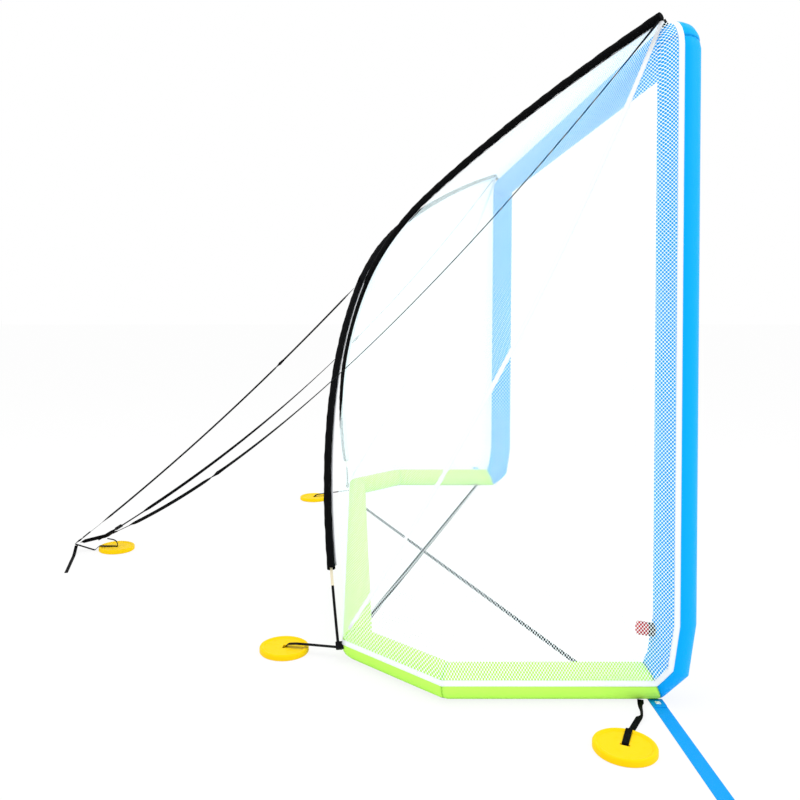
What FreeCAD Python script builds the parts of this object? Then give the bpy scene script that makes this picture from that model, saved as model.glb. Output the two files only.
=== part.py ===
# A free-standing sports goal: an inflated front frame and base, a fine net held out by two
# crossed poles, guy straps to a ground anchor behind, and five round anchor discs.
# X runs along the goal line, +Y from the mouth to the back, +Z up. Sizes are in millimetres.
# Pieces are drawn from the middle of the goal line on the ground, then all are moved together
# so that the origin is on the ground under the middle of the whole footprint.
import FreeCAD
import Part
import Sketcher
import math
import os
from FreeCAD import Placement, Rotation, Vector

doc = FreeCAD.newDocument("goal")
sheet = doc.addObject("Spreadsheet::Sheet", "Sizes")
nodes = []

# Driving dimensions
SIZES = {
    "post_spacing": 2880,
    "goal_height": 2000,
    "goal_depth": 1000,
    "front_tube_dia": 120,
    "base_tube_dia": 100,
    "tube_wall": 1.2,
    "top_corner_cut": 36,
    "rear_corner_cut": 263,
    "foot_lean": 14,
    "foot_bend_height": 230,
    "elbow_back": 34,
    "elbow_height": 100,
    "foot_joint_back": 82,
    "tape_width": 16,
    "tape_thick": 0.8,
    "tape_gap": 0.3,
    "tape_twist_gap": 1.7,
    "tape_lean_deg": 14.5,
    "net_thick": 1,
    "net_gap": 1.2,
    "net_clearance": 1.1,
    "seam_bow": 62,
    "crossing_back": 922,
    "crossing_height": 1268,
    "sleeve_dia": 28,
    "sleeve_wall": 1.2,
    "sleeve_open_end": 265,
    "sleeve_gap": 0.6,
    "pole_top_inset": 12,
    "pole_top_back": 50,
    "pole_top_rise": 14,
    "pole_foot_side": 1202,
    "pole_foot_gap": 11,
    "pole_foot_height": 44,
    "pole_crossing_tilt": -2.7,
    "pole_upper_radius": 2193,
    "pole_upper_bend": 694,
    "pole_lower_radius": 3597,
    "pole_lower_bend": 1454,
    "rod_dia": 9.5,
    "rod_bore": 6,
    "rod_sections": 6,
    "arc_step": 520,
    "black_end_length": 205,
    "ferrule_length": 80,
    "ferrule_wall": 0.9,
    "rod_fit": 0.1,
    "shock_cord_dia": 5.2,
    "socket_dia": 17,
    "socket_depth": 20,
    "socket_floor": 3,
    "socket_block": 15,
    "corner_pad_dia": 18,
    "seat_gap": 0.3,
    "webbing_thick": 1.6,
    "floor_strap_width": 20,
    "floor_strap_front": 172,
    "floor_strap_rear_side": 921,
    "line_strap_width": 42,
    "line_strap_reach": 2030,
    "line_strap_front": 78,
    "line_strap_end_front": 94,
    "flap_length": 46,
    "snap_square": 14,
    "snap_dia": 7,
    "snap_thick": 1.2,
    "disc_dia": 165,
    "disc_height": 19,
    "disc_edge_round": 5,
    "disc_rim": 9,
    "disc_slope": 7,
    "disc_dish": 4,
    "disc_hole_length": 26,
    "disc_hole_width": 9,
    "disc_strap_width": 18,
    "anchor_side": 25,
    "anchor_back": 2097,
    "guy_width": 15,
    "guy_thick": 1.6,
    "guy_start": 25,
    "guy_lift": 17,
    "left_guy_sag": 211,
    "right_guy_sag": 195,
    "centre_guy_sag": 46,
    "centre_guy_end": 2286,
    "centre_guy_low": 34,
    "ring_back": 2160,
    "ring_height": 62,
    "ring_dia": 34,
    "ring_wire": 4,
    "slider_length": 34,
    "slider_width": 26,
    "slider_thick": 6,
    "slider_bar": 5,
    "slider_from_ring": 70,
    "slider_fit": 0.4,
    "tab_side": 46,
    "tab_reach": 52,
    "valve_height": 190,
    "valve_flange_dia": 46,
    "valve_flange_depth": 12,
    "valve_wall": 3,
    "valve_collar_dia": 38,
    "valve_collar_rise": 17,
    "valve_bore_dia": 30,
    "valve_spider_depth": 2,
    "valve_spider_thick": 2,
    "valve_air_hole_dia": 3.6,
    "valve_air_hole_count": 6,
    "valve_air_circle": 5.4,
    "poppet_dia": 18,
    "poppet_thick": 2,
    "poppet_stem_dia": 4.4,
    "poppet_button_dia": 9,
    "poppet_button_thick": 2,
    "poppet_rise": 12,
    "washer_thick": 1.5,
    "running_fit": 0.05,
    "spring_wire": 0.9,
    "spring_dia": 8,
    "spring_turns": 4,
    "cap_dia": 39,
    "cap_height": 28,
    "cap_top": 5,
    "cap_round": 4,
    "cap_plug": 8,
    "cap_wall": 3,
    "cap_groove_dia": 3,
    "cap_grooves": 18,
}
for row, (word, number) in enumerate(SIZES.items(), start=1):
    sheet.set(f"A{row}", word)
    sheet.set(f"B{row}", str(number))
    sheet.setAlias(f"B{row}", word)
doc.recompute()


def mm(word):
    return float(sheet.get(word))


# Shared places, all from the goal line
half_width = mm("post_spacing") / 2
front_radius = mm("front_tube_dia") / 2
base_radius = mm("base_tube_dia") / 2
base_axis_height = base_radius
top_axis_height = mm("goal_height") - front_radius
base_back = mm("goal_depth") - base_radius
straight_back = base_back - mm("rear_corner_cut")
rear_half = half_width - mm("rear_corner_cut")
anchor_centre = Vector(mm("anchor_side"), mm("anchor_back"), 0)
guy_end = Vector(0, mm("centre_guy_end"), mm("centre_guy_low"))
anchor_slant = math.atan2(anchor_centre.x, guy_end.y - anchor_centre.y)
far_end = guy_end.y + mm("disc_strap_width") / 2 * math.sin(anchor_slant)
footprint_middle = (far_end - front_radius) / 2
to_origin = Vector(0, -footprint_middle, 0)
UP = Vector(0, 0, 1)
BACK = Vector(0, 1, 0)


def keep(name, thing, place=None):
    """Name a finished object, put it in its place and list it for export."""
    thing.Label = name
    thing.Placement = Placement(to_origin, Rotation()).multiply(place or Placement())
    nodes.append(thing)
    return thing


def keep_shape(name, shape):
    """Keep a shape that was drawn straight in the goal's own frame."""
    thing = doc.addObject("Part::Feature", name)
    thing.Shape = shape
    return keep(name, thing)


def mirrored(point):
    return Vector(-point.x, point.y, point.z)


def unit(vector):
    return Vector(vector).normalize()


class Bend:
    """A circular arc through three points, measured by length from its first end."""

    def __init__(self, first, middle, last):
        self.edge = Part.Arc(first, middle, last).toShape()
        circle = self.edge.Curve
        self.centre = circle.Center
        self.radius = circle.Radius
        self.begin = first - self.centre
        self.axis = unit((first - self.centre).cross(middle - self.centre))
        self.length = self.edge.Length

    def turned(self, distance):
        return Rotation(self.axis, math.degrees(distance / self.radius))

    def point(self, distance):
        return self.centre + self.turned(distance).multVec(self.begin)

    def way(self, distance):
        return self.turned(distance).multVec(unit(self.axis.cross(self.begin)))

    def share(self, share):
        return self.point(self.length * share)

    def turned_back(self):
        return Bend(self.point(self.length), self.share(0.5), self.point(0))


def bend_middle(first, way, last):
    """The middle of the arc that leaves the first point along way and ends at the last."""
    reach = last - first
    across = way - reach * (way.dot(reach) / reach.dot(reach))
    if across.Length < 1e-9:
        return between(first, last, 0.5)
    return between(first, last, 0.5) + unit(across) * (reach.Length / 2 * math.tan(way.getAngle(reach) / 2))


def bend_to(first, way, last):
    return Bend(first, bend_middle(first, way, last), last)


def bend_away(first, way, inward, radius, length):
    """An arc of a given radius and length that leaves the first point along way and turns inward."""
    angles = [length / radius / 2, length / radius]
    middle, last = [
        first + way * (radius * math.sin(angle)) + inward * (radius * (1 - math.cos(angle))) for angle in angles
    ]
    return Bend(first, middle, last)


class Chain:
    """Bends that run on from each other, measured by length from the first end."""

    def __init__(self, bends, crossing_at):
        self.bends = bends
        self.crossing_at = sum(bend.length for bend in bends[:crossing_at])
        self.length = sum(bend.length for bend in bends)

    def spans(self, start, end):
        """Each bend between two distances, with its own two distances; the end bends run on."""
        found = []
        before = 0
        for number, bend in enumerate(self.bends):
            first = start - before if number == 0 else max(start - before, 0)
            last = end - before if number == len(self.bends) - 1 else min(end - before, bend.length)
            if last - first > 1e-6:
                found.append((bend, first, last))
            before += bend.length
        return found

    def point(self, distance):
        bend, first, last = self.spans(distance - 1, distance)[-1]
        return bend.point(last)

    def way(self, distance):
        bend, first, last = self.spans(distance - 1, distance)[-1]
        return bend.way(last)


def pole_chain(top, crossing, foot):
    """A bent pole: nearly straight at both ends, bent most above the crossing."""
    chord_way = unit(foot - top)
    outward = unit(chord_way.cross((crossing - top).cross(chord_way)))
    tilt = math.radians(mm("pole_crossing_tilt"))
    way = unit(chord_way * math.cos(tilt) + outward * math.sin(tilt))
    inward = unit(chord_way * math.sin(tilt) - outward * math.cos(tilt))
    above = bend_away(crossing, way * -1, inward, mm("pole_upper_radius"), mm("pole_upper_bend"))
    below = bend_away(crossing, way, inward, mm("pole_lower_radius"), mm("pole_lower_bend"))
    upper_last, lower_last = above.point(above.length), below.point(below.length)
    bends = [
        bend_to(upper_last, above.way(above.length), top).turned_back(), above.turned_back(),
        below, bend_to(lower_last, below.way(below.length), foot),
    ]
    return Chain(bends, 2)


# Tubes with mitred bends

def half_space(point, normal):
    size = 3 * mm("goal_height")
    block = Part.makeBox(size, size, size, Vector(-size / 2, -size / 2, 0))
    block.Placement = Placement(point, Rotation(UP, normal))
    return block


def limb(start, end, start_radius, end_radius):
    """A straight tube filling, run on past both ends so that a mitre can cut it."""
    way = unit(end - start)
    length = (end - start).Length
    slope = (end_radius - start_radius) / length
    run_on = min(1.2 * max(start_radius, end_radius), 0.5 * min(start_radius, end_radius) / max(abs(slope), 0.01))
    first = start - way * run_on
    if abs(slope) < 1e-9:
        return Part.makeCylinder(start_radius, length + 2 * run_on, first, way)
    return Part.makeCone(start_radius - slope * run_on, end_radius + slope * run_on, length + 2 * run_on, first, way)


def mitre_normal(path, index, first_way, last_way):
    before = first_way if index == 0 else unit(path[index] - path[index - 1])
    after = last_way if index == len(path) - 1 else unit(path[index + 1] - path[index])
    return unit(before + after)


def filled_tube(path, radii, first_way, last_way):
    solid = None
    for index in range(len(path) - 1):
        piece = limb(path[index], path[index + 1], radii[index], radii[index + 1])
        piece = piece.common(half_space(path[index], mitre_normal(path, index, first_way, last_way)))
        piece = piece.common(half_space(path[index + 1], mitre_normal(path, index + 1, first_way, last_way) * -1))
        solid = piece if solid is None else solid.fuse(piece)
    return solid


def hollow_tube(path, radii, first_way, last_way):
    wall = mm("tube_wall")
    outside = filled_tube(path, radii, first_way, last_way)
    inside = filled_tube(path, [radius - wall for radius in radii], first_way, last_way)
    return outside.cut(inside)


foot_joint = Vector(-half_width, mm("foot_joint_back"), base_axis_height)
elbow = Vector(-half_width, mm("elbow_back"), mm("elbow_height"))
foot_bend = Vector(-half_width, mm("foot_lean"), mm("foot_bend_height"))
post_top = Vector(-half_width, 0, top_axis_height - mm("top_corner_cut"))
bar_end = Vector(-half_width + mm("top_corner_cut"), 0, top_axis_height)
side_end = Vector(-half_width, straight_back, base_axis_height)
corner_end = Vector(-rear_half, base_back, base_axis_height)
ALONG_BAR = Vector(1, 0, 0)
post_path = [foot_joint, elbow, foot_bend, post_top, bar_end]
post_radii = [base_radius] + [front_radius] * 4

left_post = hollow_tube(post_path, post_radii, Vector(0, -1, 0), ALONG_BAR)
right_post = left_post.mirror(Vector(), ALONG_BAR)
crossbar = hollow_tube(
    [bar_end, mirrored(bar_end)], [front_radius] * 2, unit(bar_end - post_top), unit(mirrored(post_top) - mirrored(bar_end)))
left_side = hollow_tube([foot_joint, side_end], [base_radius] * 2, unit(foot_joint - elbow), unit(corner_end - side_end))
left_corner = hollow_tube([side_end, corner_end], [base_radius] * 2, BACK, ALONG_BAR)
rear_tube = hollow_tube(
    [corner_end, mirrored(corner_end)], [base_radius] * 2, unit(corner_end - side_end),
    unit(mirrored(side_end) - mirrored(corner_end)))

# The valve's own frame: its origin is on the post's axis and its Z points out of the tube
foot_run = unit(foot_bend - elbow)
valve_share = (mm("valve_height") - elbow.z) / (foot_bend.z - elbow.z)
valve_root = elbow + (foot_bend - elbow) * valve_share
valve_way = unit(BACK - foot_run * BACK.dot(foot_run))
valve_place = Placement(valve_root, Rotation(UP, valve_way))
valve_hole = Part.makeCylinder(mm("valve_collar_dia") / 2 + mm("seat_gap"), 2 * front_radius)
valve_hole.Placement = valve_place

keep_shape("post_tube_left", left_post.cut(valve_hole))
keep_shape("post_tube_right", right_post)
keep_shape("crossbar_tube", crossbar)
keep_shape("base_side_tube_left", left_side)
keep_shape("base_side_tube_right", left_side.mirror(Vector(), ALONG_BAR))
keep_shape("base_corner_tube_left", left_corner)
keep_shape("base_corner_tube_right", left_corner.mirror(Vector(), ALONG_BAR))
keep_shape("base_rear_tube", rear_tube)


# Thin sheets and bands, built from triangles and given their thickness on the outer side

def turned_outward(triangles):
    """The same triangles, wound so that they face away from the middle of the goal's inside."""
    inside = Vector(0, mm("goal_depth") / 2, mm("goal_height") / 3)
    facing = 0
    for first, second, third in triangles:
        facing += (second - first).cross(third - first).dot(first - inside)
    if facing >= 0:
        return triangles
    return [[first, third, second] for first, second, third in triangles]


def thick_sheet(triangles, thickness):
    """A closed solid from an open surface of triangles, thickened along its vertex normals."""
    spots = []
    numbers = {}
    corners = []
    for triangle in triangles:
        ring = []
        for point in triangle:
            key = (round(point.x, 3), round(point.y, 3), round(point.z, 3))
            if key not in numbers:
                numbers[key] = len(spots)
                spots.append(point)
            ring.append(numbers[key])
        corners.append(ring)
    normals = [Vector() for spot in spots]
    edge_uses = {}
    for ring in corners:
        first, second, third = (spots[number] for number in ring)
        face_normal = (second - first).cross(third - first)
        for number in ring:
            normals[number] = normals[number] + face_normal
        for start, end in zip(ring, ring[1:] + ring[:1]):
            edge_uses[(start, end)] = edge_uses.get((start, end), 0) + 1
    outer = [spot + unit(normal) * thickness for spot, normal in zip(spots, normals)]
    faces = []
    for ring in corners:
        faces.append([spots[number] for number in reversed(ring)])
        faces.append([outer[number] for number in ring])
    for start, end in edge_uses:
        if (end, start) not in edge_uses:
            faces.append([spots[start], spots[end], outer[end]])
            faces.append([spots[start], outer[end], outer[start]])
    shell = Part.makeShell([Part.Face(Part.makePolygon(face + face[:1])) for face in faces])
    solid = Part.makeSolid(shell)
    if solid.Volume < 0:
        solid.reverse()
    return solid


def grid_triangles(rows):
    """Two triangles per cell of a grid of points, all wound the same way."""
    triangles = []
    for upper, lower in zip(rows, rows[1:]):
        for index in range(len(upper) - 1):
            triangles.append([upper[index], lower[index], lower[index + 1]])
            triangles.append([upper[index], lower[index + 1], upper[index + 1]])
    return triangles


def between(start, end, share):
    return start + (end - start) * share


def ruled_grid(first_edge, second_edge, columns, margin):
    """Straight lines from one edge to the other, stopping short of both by the margin."""
    rows = []
    for start, end in zip(first_edge, second_edge):
        inset = min(margin / max((end - start).Length, 0.001), 0.3)
        shares = [inset + (1 - 2 * inset) * column / columns for column in range(columns + 1)]
        rows.append([between(start, end, share) for share in shares])
    return rows


def clear_of(point, start, end, radius):
    """The point, moved straight out of a tube when it is inside it."""
    way = end - start
    share = min(max((point - start).dot(way) / way.dot(way), 0), 1)
    foot = start + way * share
    out = point - foot
    if out.Length >= radius:
        return point
    return foot + unit(out) * radius


def wrapped_grid(tube_edge, free_edge, columns, margin, tubes):
    """Lines that leave a tube's surface in short steps and then run straight to the free edge."""
    rows = []
    for start, end in zip(tube_edge, free_edge):
        way = end - start
        scale = min(1, way.Length / (3 * WRAP_STEPS[-1]))
        short = [step * scale for step in WRAP_STEPS]
        rest = way.Length - margin - short[-1]
        distances = short + [short[-1] + rest * number / columns for number in range(1, columns + 1)]
        row = [start + unit(way) * distance for distance in distances]
        for tube_start, tube_end, radius in tubes:
            row = [clear_of(point, tube_start, tube_end, radius + mm("net_gap")) for point in row]
        rows.append(row)
    return rows


def band(middles, sides, width, thickness):
    """A flat strap along its middle line; each side vector points across the strap."""
    rows = []
    for middle, side in zip(middles, sides):
        across = unit(side) * (width / 2)
        rows.append([middle - across, middle + across])
    return thick_sheet(grid_triangles(rows), thickness)


# Seam tapes: white strips on the tubes' outer sides, leaning towards the net

tape_lean = math.radians(mm("tape_lean_deg"))
tape_width = mm("tape_width")


def tape_line(path, radii, outward):
    """Points on the tubes' surface along a path, where the outward side keeps to its mitres."""
    points = []
    facing = outward
    for index, here in enumerate(path):
        way_in = unit(here - path[index - 1]) if index else unit(path[1] - here)
        way_out = unit(path[index + 1] - here) if index < len(path) - 1 else way_in
        facing = unit(facing - way_in * facing.dot(way_in))
        bisector = way_in + way_out
        reach = facing * (radii[index] + mm("tape_gap"))
        reach = reach - way_in * (reach.dot(bisector) / way_in.dot(bisector))
        points.append(here + reach)
        facing = Rotation(way_in, way_out).multVec(facing)
    return points


def tape_sides(path, points, inner_hint):
    """Vectors across the tape, along the tube's surface, on the net's side."""
    sides = []
    for index in range(len(points)):
        before = points[max(index - 1, 0)]
        after = points[min(index + 1, len(points) - 1)]
        way = unit(after - before)
        facing = points[index] - path[index]
        facing = unit(facing - way * facing.dot(way))
        side = way.cross(facing)
        sides.append(side if side.dot(inner_hint) > 0 else side * -1)
    return sides


def tape(points, sides):
    rows = []
    for point, side in zip(points, sides):
        across = unit(side) * (tape_width / 2)
        rows.append([point - across, point + across])
    return thick_sheet(turned_outward(grid_triangles(rows)), mm("tape_thick"))


bar_middle = Vector(0, 0, top_axis_height)
rear_middle = Vector(0, base_back, base_axis_height)
frame_path = [bar_middle, bar_end, post_top, foot_bend, elbow, foot_joint, side_end, corner_end, rear_middle]
frame_radii = [front_radius] * 5 + [base_radius] * 4
twist_gaps = [0] * 4 + [mm("tape_twist_gap")] * 2 + [0] * 3
tape_radii = [radius + gap for radius, gap in zip(frame_radii, twist_gaps)]
frame_points = tape_line(frame_path, tape_radii, Vector(0, math.sin(tape_lean), math.cos(tape_lean)))
frame_sides = tape_sides(frame_path, frame_points, Vector(0, 1, 1))
TAPE_INSET = 0.02


def inset_ends(points):
    """The same line, a little short at both ends, where another tape begins."""
    first = between(points[0], points[1], TAPE_INSET)
    last = between(points[-1], points[-2], TAPE_INSET)
    return [first] + points[1:-1] + [last]


left_tape = tape(inset_ends(frame_points[1:-1]), frame_sides[1:-1])
keep_shape("frame_tape_left", left_tape)
keep_shape("frame_tape_right", left_tape.mirror(Vector(), ALONG_BAR))
bar_tape_points = [frame_points[1], mirrored(frame_points[1])]
keep_shape("crossbar_tape", tape(bar_tape_points, [frame_sides[0]] * 2))
rear_tape_points = [frame_points[-2], mirrored(frame_points[-2])]
keep_shape("rear_tape", tape(rear_tape_points, [frame_sides[-1]] * 2))

# The two poles bend from a top corner, over the crossing, to the opposite rear corner

pole_top = Vector(-half_width + mm("pole_top_inset"), mm("pole_top_back"), mm("goal_height") + mm("pole_top_rise"))
pole_foot = Vector(mm("pole_foot_side"), mm("goal_depth") + mm("pole_foot_gap"), mm("pole_foot_height"))
crossing = Vector(0, mm("crossing_back"), mm("crossing_height"))
sleeve_radius = mm("sleeve_dia") / 2
chord = unit(pole_foot - pole_top)
crossing_out = Vector(0, -chord.z, chord.y)
crossing_out = unit(crossing_out)
pole_stagger = crossing_out * (sleeve_radius + mm("sleeve_gap"))
pole_arc = {
    "left": pole_chain(pole_top, crossing - pole_stagger, pole_foot),
    "right": pole_chain(mirrored(pole_top), crossing + pole_stagger, mirrored(pole_foot)),
}


def arc_piece(arc, start, end, outer_radius, bore_radius):
    point, way = arc.point(start), arc.way(start)
    section = Part.Face(Part.Wire(Part.makeCircle(outer_radius, point, way)))
    if bore_radius:
        section = section.cut(Part.Face(Part.Wire(Part.makeCircle(bore_radius, point, way))))
    return section.revolve(arc.centre, arc.axis, math.degrees((end - start) / arc.radius))


def arc_tube(arc, start, end, outer_radius, bore_radius=0):
    """A round rod or tube bent along the arc, between two distances from its first end."""
    pieces = []
    for bend, first, last in arc.spans(start, end):
        count = math.ceil((last - first) / mm("arc_step"))
        ends = [first + (last - first) * number / count for number in range(count + 1)]
        pieces.extend(arc_piece(bend, near, far, outer_radius, bore_radius) for near, far in zip(ends, ends[1:]))
    return pieces[0].multiFuse(pieces[1:]) if len(pieces) > 1 else pieces[0]


rod_radius = mm("rod_dia") / 2
black_ends = []
all_ferrules = []
shock_cords = []
for side, arc in pole_arc.items():
    length = arc.length
    light_end = length - mm("black_end_length")
    section = light_end / mm("rod_sections")
    section_count = int(mm("rod_sections"))
    joints = [section * number for number in range(1, section_count)]
    sleeve_end = length - mm("sleeve_open_end")
    sleeve_wall = mm("sleeve_wall")
    sleeve = arc_tube(arc, -2 * sleeve_wall, sleeve_end, sleeve_radius)
    sleeve = sleeve.cut(arc_tube(arc, -sleeve_wall, sleeve_end + sleeve_wall, sleeve_radius - sleeve_wall))
    keep_shape(f"pole_sleeve_{side}", sleeve)
    rods = [
        arc_tube(arc, section * number, section * (number + 1), rod_radius, mm("rod_bore") / 2)
        for number in range(section_count)
    ]
    keep_shape(f"pole_rods_{side}", Part.makeCompound(rods))
    black_ends.append(arc_tube(arc, light_end, length, rod_radius, mm("rod_bore") / 2))
    ferrule_bore = rod_radius + mm("rod_fit")
    half_ferrule = mm("ferrule_length") / 2
    ferrules = [
        arc_tube(arc, joint - half_ferrule, joint + half_ferrule, ferrule_bore + mm("ferrule_wall"), ferrule_bore)
        for joint in joints
    ]
    all_ferrules.extend(ferrules)
    shock_cords.append(arc_tube(arc, 0, length - rod_radius, mm("shock_cord_dia") / 2))
keep_shape("pole_black_ends", Part.makeCompound(black_ends))
keep_shape("pole_ferrules", Part.makeCompound(all_ferrules))
keep_shape("shock_cords", Part.makeCompound(shock_cords))

# Net panels: they meet along the poles and along the two side seams

net_thick = mm("net_thick")
net_edge = tape_width / 2 + 2 * mm("seat_gap")
net_drop = sleeve_radius + mm("sleeve_gap") + net_thick + mm("net_clearance")
top_way = pole_arc["left"].way(0)
net_top = pole_top - unit(UP - top_way * top_way.z) * net_drop
net_foot = Vector(pole_foot.x, pole_foot.y - mm("pole_foot_gap"), frame_points[-2].z + net_edge)
net_crossing = crossing - pole_stagger - crossing_out * net_drop
net_arc = pole_chain(net_top, net_crossing, net_foot)
HALF_ROWS = 12
WRAP_STEPS = [0, 8, 16, 24, 32, 41, 50, 60, 72, 90]
NET_COLUMNS = 10


upper_length = net_arc.crossing_at
lower_length = net_arc.length - upper_length
upper_edge = [net_arc.point(upper_length * row / HALF_ROWS) for row in range(HALF_ROWS + 1)]
lower_edge = [
    mirrored(net_arc.point(upper_length + lower_length * row / HALF_ROWS))
    for row in range(HALF_ROWS + 1)
]
seam_middle = between(net_top, mirrored(net_foot), 0.5)
seam_middle = seam_middle + Vector(0, -mm("seam_bow"), 0)
seam_arc = Bend(net_top, seam_middle, mirrored(net_foot))
seam = [seam_arc.share(row / (2 * HALF_ROWS)) for row in range(2 * HALF_ROWS + 1)]
NET_MARGIN = 0.6


def without_tip(edge, at_start, at_end):
    """Blunt the ends where two edges meet in a point."""
    points = list(edge)
    if at_start:
        points[0] = between(points[0], points[1], 0.12)
    if at_end:
        points[-1] = between(points[-1], points[-2], 0.12)
    return points


def net_panel(rows):
    return thick_sheet(turned_outward(grid_triangles(rows)), net_thick)


roof_front = frame_points[1] + frame_sides[0] * net_edge
roof_left = [roof_front] + without_tip(upper_edge, False, True)
keep_shape("roof_net", net_panel(ruled_grid(roof_left, [mirrored(point) for point in roof_left], NET_COLUMNS, NET_MARGIN)))

rear_left = without_tip(lower_edge, True, False)
keep_shape("rear_net", net_panel(ruled_grid(rear_left, [mirrored(point) for point in rear_left], NET_COLUMNS, NET_MARGIN)))

pole_edge = without_tip(upper_edge + lower_edge[1:], True, True)
seam_edge = without_tip(seam, True, True)
left_quarter = net_panel(ruled_grid(seam_edge, pole_edge, NET_COLUMNS // 2, NET_MARGIN))
keep_shape("back_net_left", left_quarter)
keep_shape("back_net_right", left_quarter.mirror(Vector(), ALONG_BAR))

SIDE_ROWS = [10, 2, 1, 7, 4]
side_corners = [point + side * net_edge for point, side in zip(frame_points[2:-1], frame_sides[2:-1])]
side_edge = []
for start, end, count in zip(side_corners, side_corners[1:], SIDE_ROWS):
    side_edge.extend(between(start, end, number / count) for number in range(count))
side_edge.append(between(side_corners[-1], side_corners[-2], TAPE_INSET))
side_tubes = [
    (frame_path[index], frame_path[index + 1], max(frame_radii[index], frame_radii[index + 1]))
    for index in range(len(frame_path) - 1)
]
side_panel = net_panel(wrapped_grid(side_edge, seam_edge, NET_COLUMNS // 2, NET_MARGIN, side_tubes))
frame_fill = filled_tube(frame_path, [radius + mm("seat_gap") for radius in frame_radii], ALONG_BAR * -1, ALONG_BAR)
side_panel = max(side_panel.cut(frame_fill).Solids, key=lambda solid: solid.Volume)
keep_shape("side_net_left", side_panel)
keep_shape("side_net_right", side_panel.mirror(Vector(), ALONG_BAR))

# White tapes over the side seams, each lying across the ridge of the two panels that meet there

SEAM_TAPE_ROWS = slice(2, -1)


def ridge_tape(ridge, first_edge, second_edge):
    """A tape that rests on the ridge where two panels, reaching to their own far edges, meet."""
    strips = []
    for index, point in list(enumerate(ridge))[SEAM_TAPE_ROWS]:
        way = unit(ridge[index + 1] - ridge[index - 1])
        first, second = first_edge[index] - point, second_edge[index] - point
        first = unit(first - way * first.dot(way))
        second = unit(second - way * second.dot(way))
        across = unit(first - second)
        lift = net_thick * first.dot(across) + mm("tape_gap") - NET_MARGIN * abs(unit(first + second).dot(first))
        middle = point - unit(first + second) * lift
        half = across * (tape_width / 2)
        strips.append([middle - half, middle + half])
    return thick_sheet(turned_outward(grid_triangles(strips)), mm("tape_thick"))


left_seam_tape = ridge_tape(seam_edge, pole_edge, side_edge)
keep_shape("side_seam_tapes", Part.makeCompound([left_seam_tape, left_seam_tape.mirror(Vector(), ALONG_BAR)]))


# Sizes that carry both their number and the words that bind them to the sheet

class Size:
    def __init__(self, number, words):
        self.number = number
        self.words = words

    def joined(self, other, sign, number):
        words = other.words if isinstance(other, Size) else f"{other} mm"
        return Size(number, f"({self.words} {sign} {words})")

    def __add__(self, other):
        return self.joined(other, "+", self.number + number_of(other))

    def __sub__(self, other):
        return self.joined(other, "-", self.number - number_of(other))

    def __truediv__(self, count):
        return Size(self.number / count, f"({self.words} / {count})")

    def __mul__(self, count):
        return Size(self.number * count, f"({self.words} * {count})")


def number_of(value):
    return value.number if isinstance(value, Size) else value


def size(word):
    return Size(mm(word), f"Sizes.{word} * 1 mm")


NOTHING = Size(0, "0 mm")


def bind(thing, where, value):
    thing.setExpression(where, value.words)


def new_body(name):
    return doc.addObject("PartDesign::Body", name)


def sketch_on(body, role):
    sketch = body.newObject("Sketcher::SketchObject", "Outline")
    plane = [feature for feature in body.Origin.OriginFeatures if feature.Role == role][0]
    sketch.AttachmentSupport = [(plane, "")]
    sketch.MapMode = "FlatFace"
    return sketch


def place_point(sketch, geometry, end, across, up):
    """Hold one point of a sketch at bound distances from the sketch's origin."""
    for kind, value, axis in (("DistanceX", across, -2), ("DistanceY", up, -1)):
        if value.number == 0:
            sketch.addConstraint(Sketcher.Constraint("PointOnObject", geometry, end, axis))
            continue
        number = sketch.addConstraint(Sketcher.Constraint(kind, -1, 1, geometry, end, value.number))
        bind(sketch, f"Constraints[{number}]", value)


def draw_outline(sketch, corners):
    points = [Vector(across.number, up.number, 0) for across, up in corners]
    lines = [Part.LineSegment(start, end) for start, end in zip(points, points[1:] + points[:1])]
    sketch.addGeometry(lines, False)
    for index, (across, up) in enumerate(corners):
        following = (index + 1) % len(corners)
        sketch.addConstraint(Sketcher.Constraint("Coincident", index, 2, following, 1))
        place_point(sketch, index, 1, across, up)


def draw_circle(sketch, across, up, radius):
    circle = Part.Circle(Vector(across.number, up.number, 0), UP, radius.number)
    index = sketch.addGeometry(circle, False)
    place_point(sketch, index, 3, across, up)
    number = sketch.addConstraint(Sketcher.Constraint("Radius", index, radius.number))
    bind(sketch, f"Constraints[{number}]", radius)


def rectangle(low_across, high_across, low_up, high_up):
    return [(low_across, low_up), (high_across, low_up), (high_across, high_up), (low_across, high_up)]


def minus(value):
    return value * -1


def turned_body(name, outline):
    """A body turned about Z from its half section, drawn as radius and height."""
    body = new_body(name)
    sketch = sketch_on(body, "XZ_Plane")
    draw_outline(sketch, outline)
    turn = body.newObject("PartDesign::Revolution", "Turn")
    turn.Profile = sketch
    turn.ReferenceAxis = (sketch, ["V_Axis"])
    turn.Angle = 360
    sketch.Visibility = False
    doc.recompute()
    return body


def cut_through(body, draw):
    """Cut a sketch's shapes right through a body, both ways from its ground plane."""
    before = body.Shape.Volume
    sketch = sketch_on(body, "XY_Plane")
    draw(sketch)
    pocket = body.newObject("PartDesign::Pocket", "Opening")
    pocket.Profile = sketch
    pocket.Type = "ThroughAll"
    pocket.Midplane = True
    doc.recompute()
    if body.Shape.Volume >= before:
        raise RuntimeError(f"{body.Name} was not cut")
    return pocket


# Floor straps: two webbing strips crossing on the ground, sewn to the base tubes

webbing = mm("webbing_thick")


def tube_ledge(thickness):
    """How far out from under a base tube a strap of this thickness just fits."""
    free = base_radius - thickness - mm("seat_gap")
    return math.sqrt(base_radius ** 2 - free ** 2)


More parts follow.
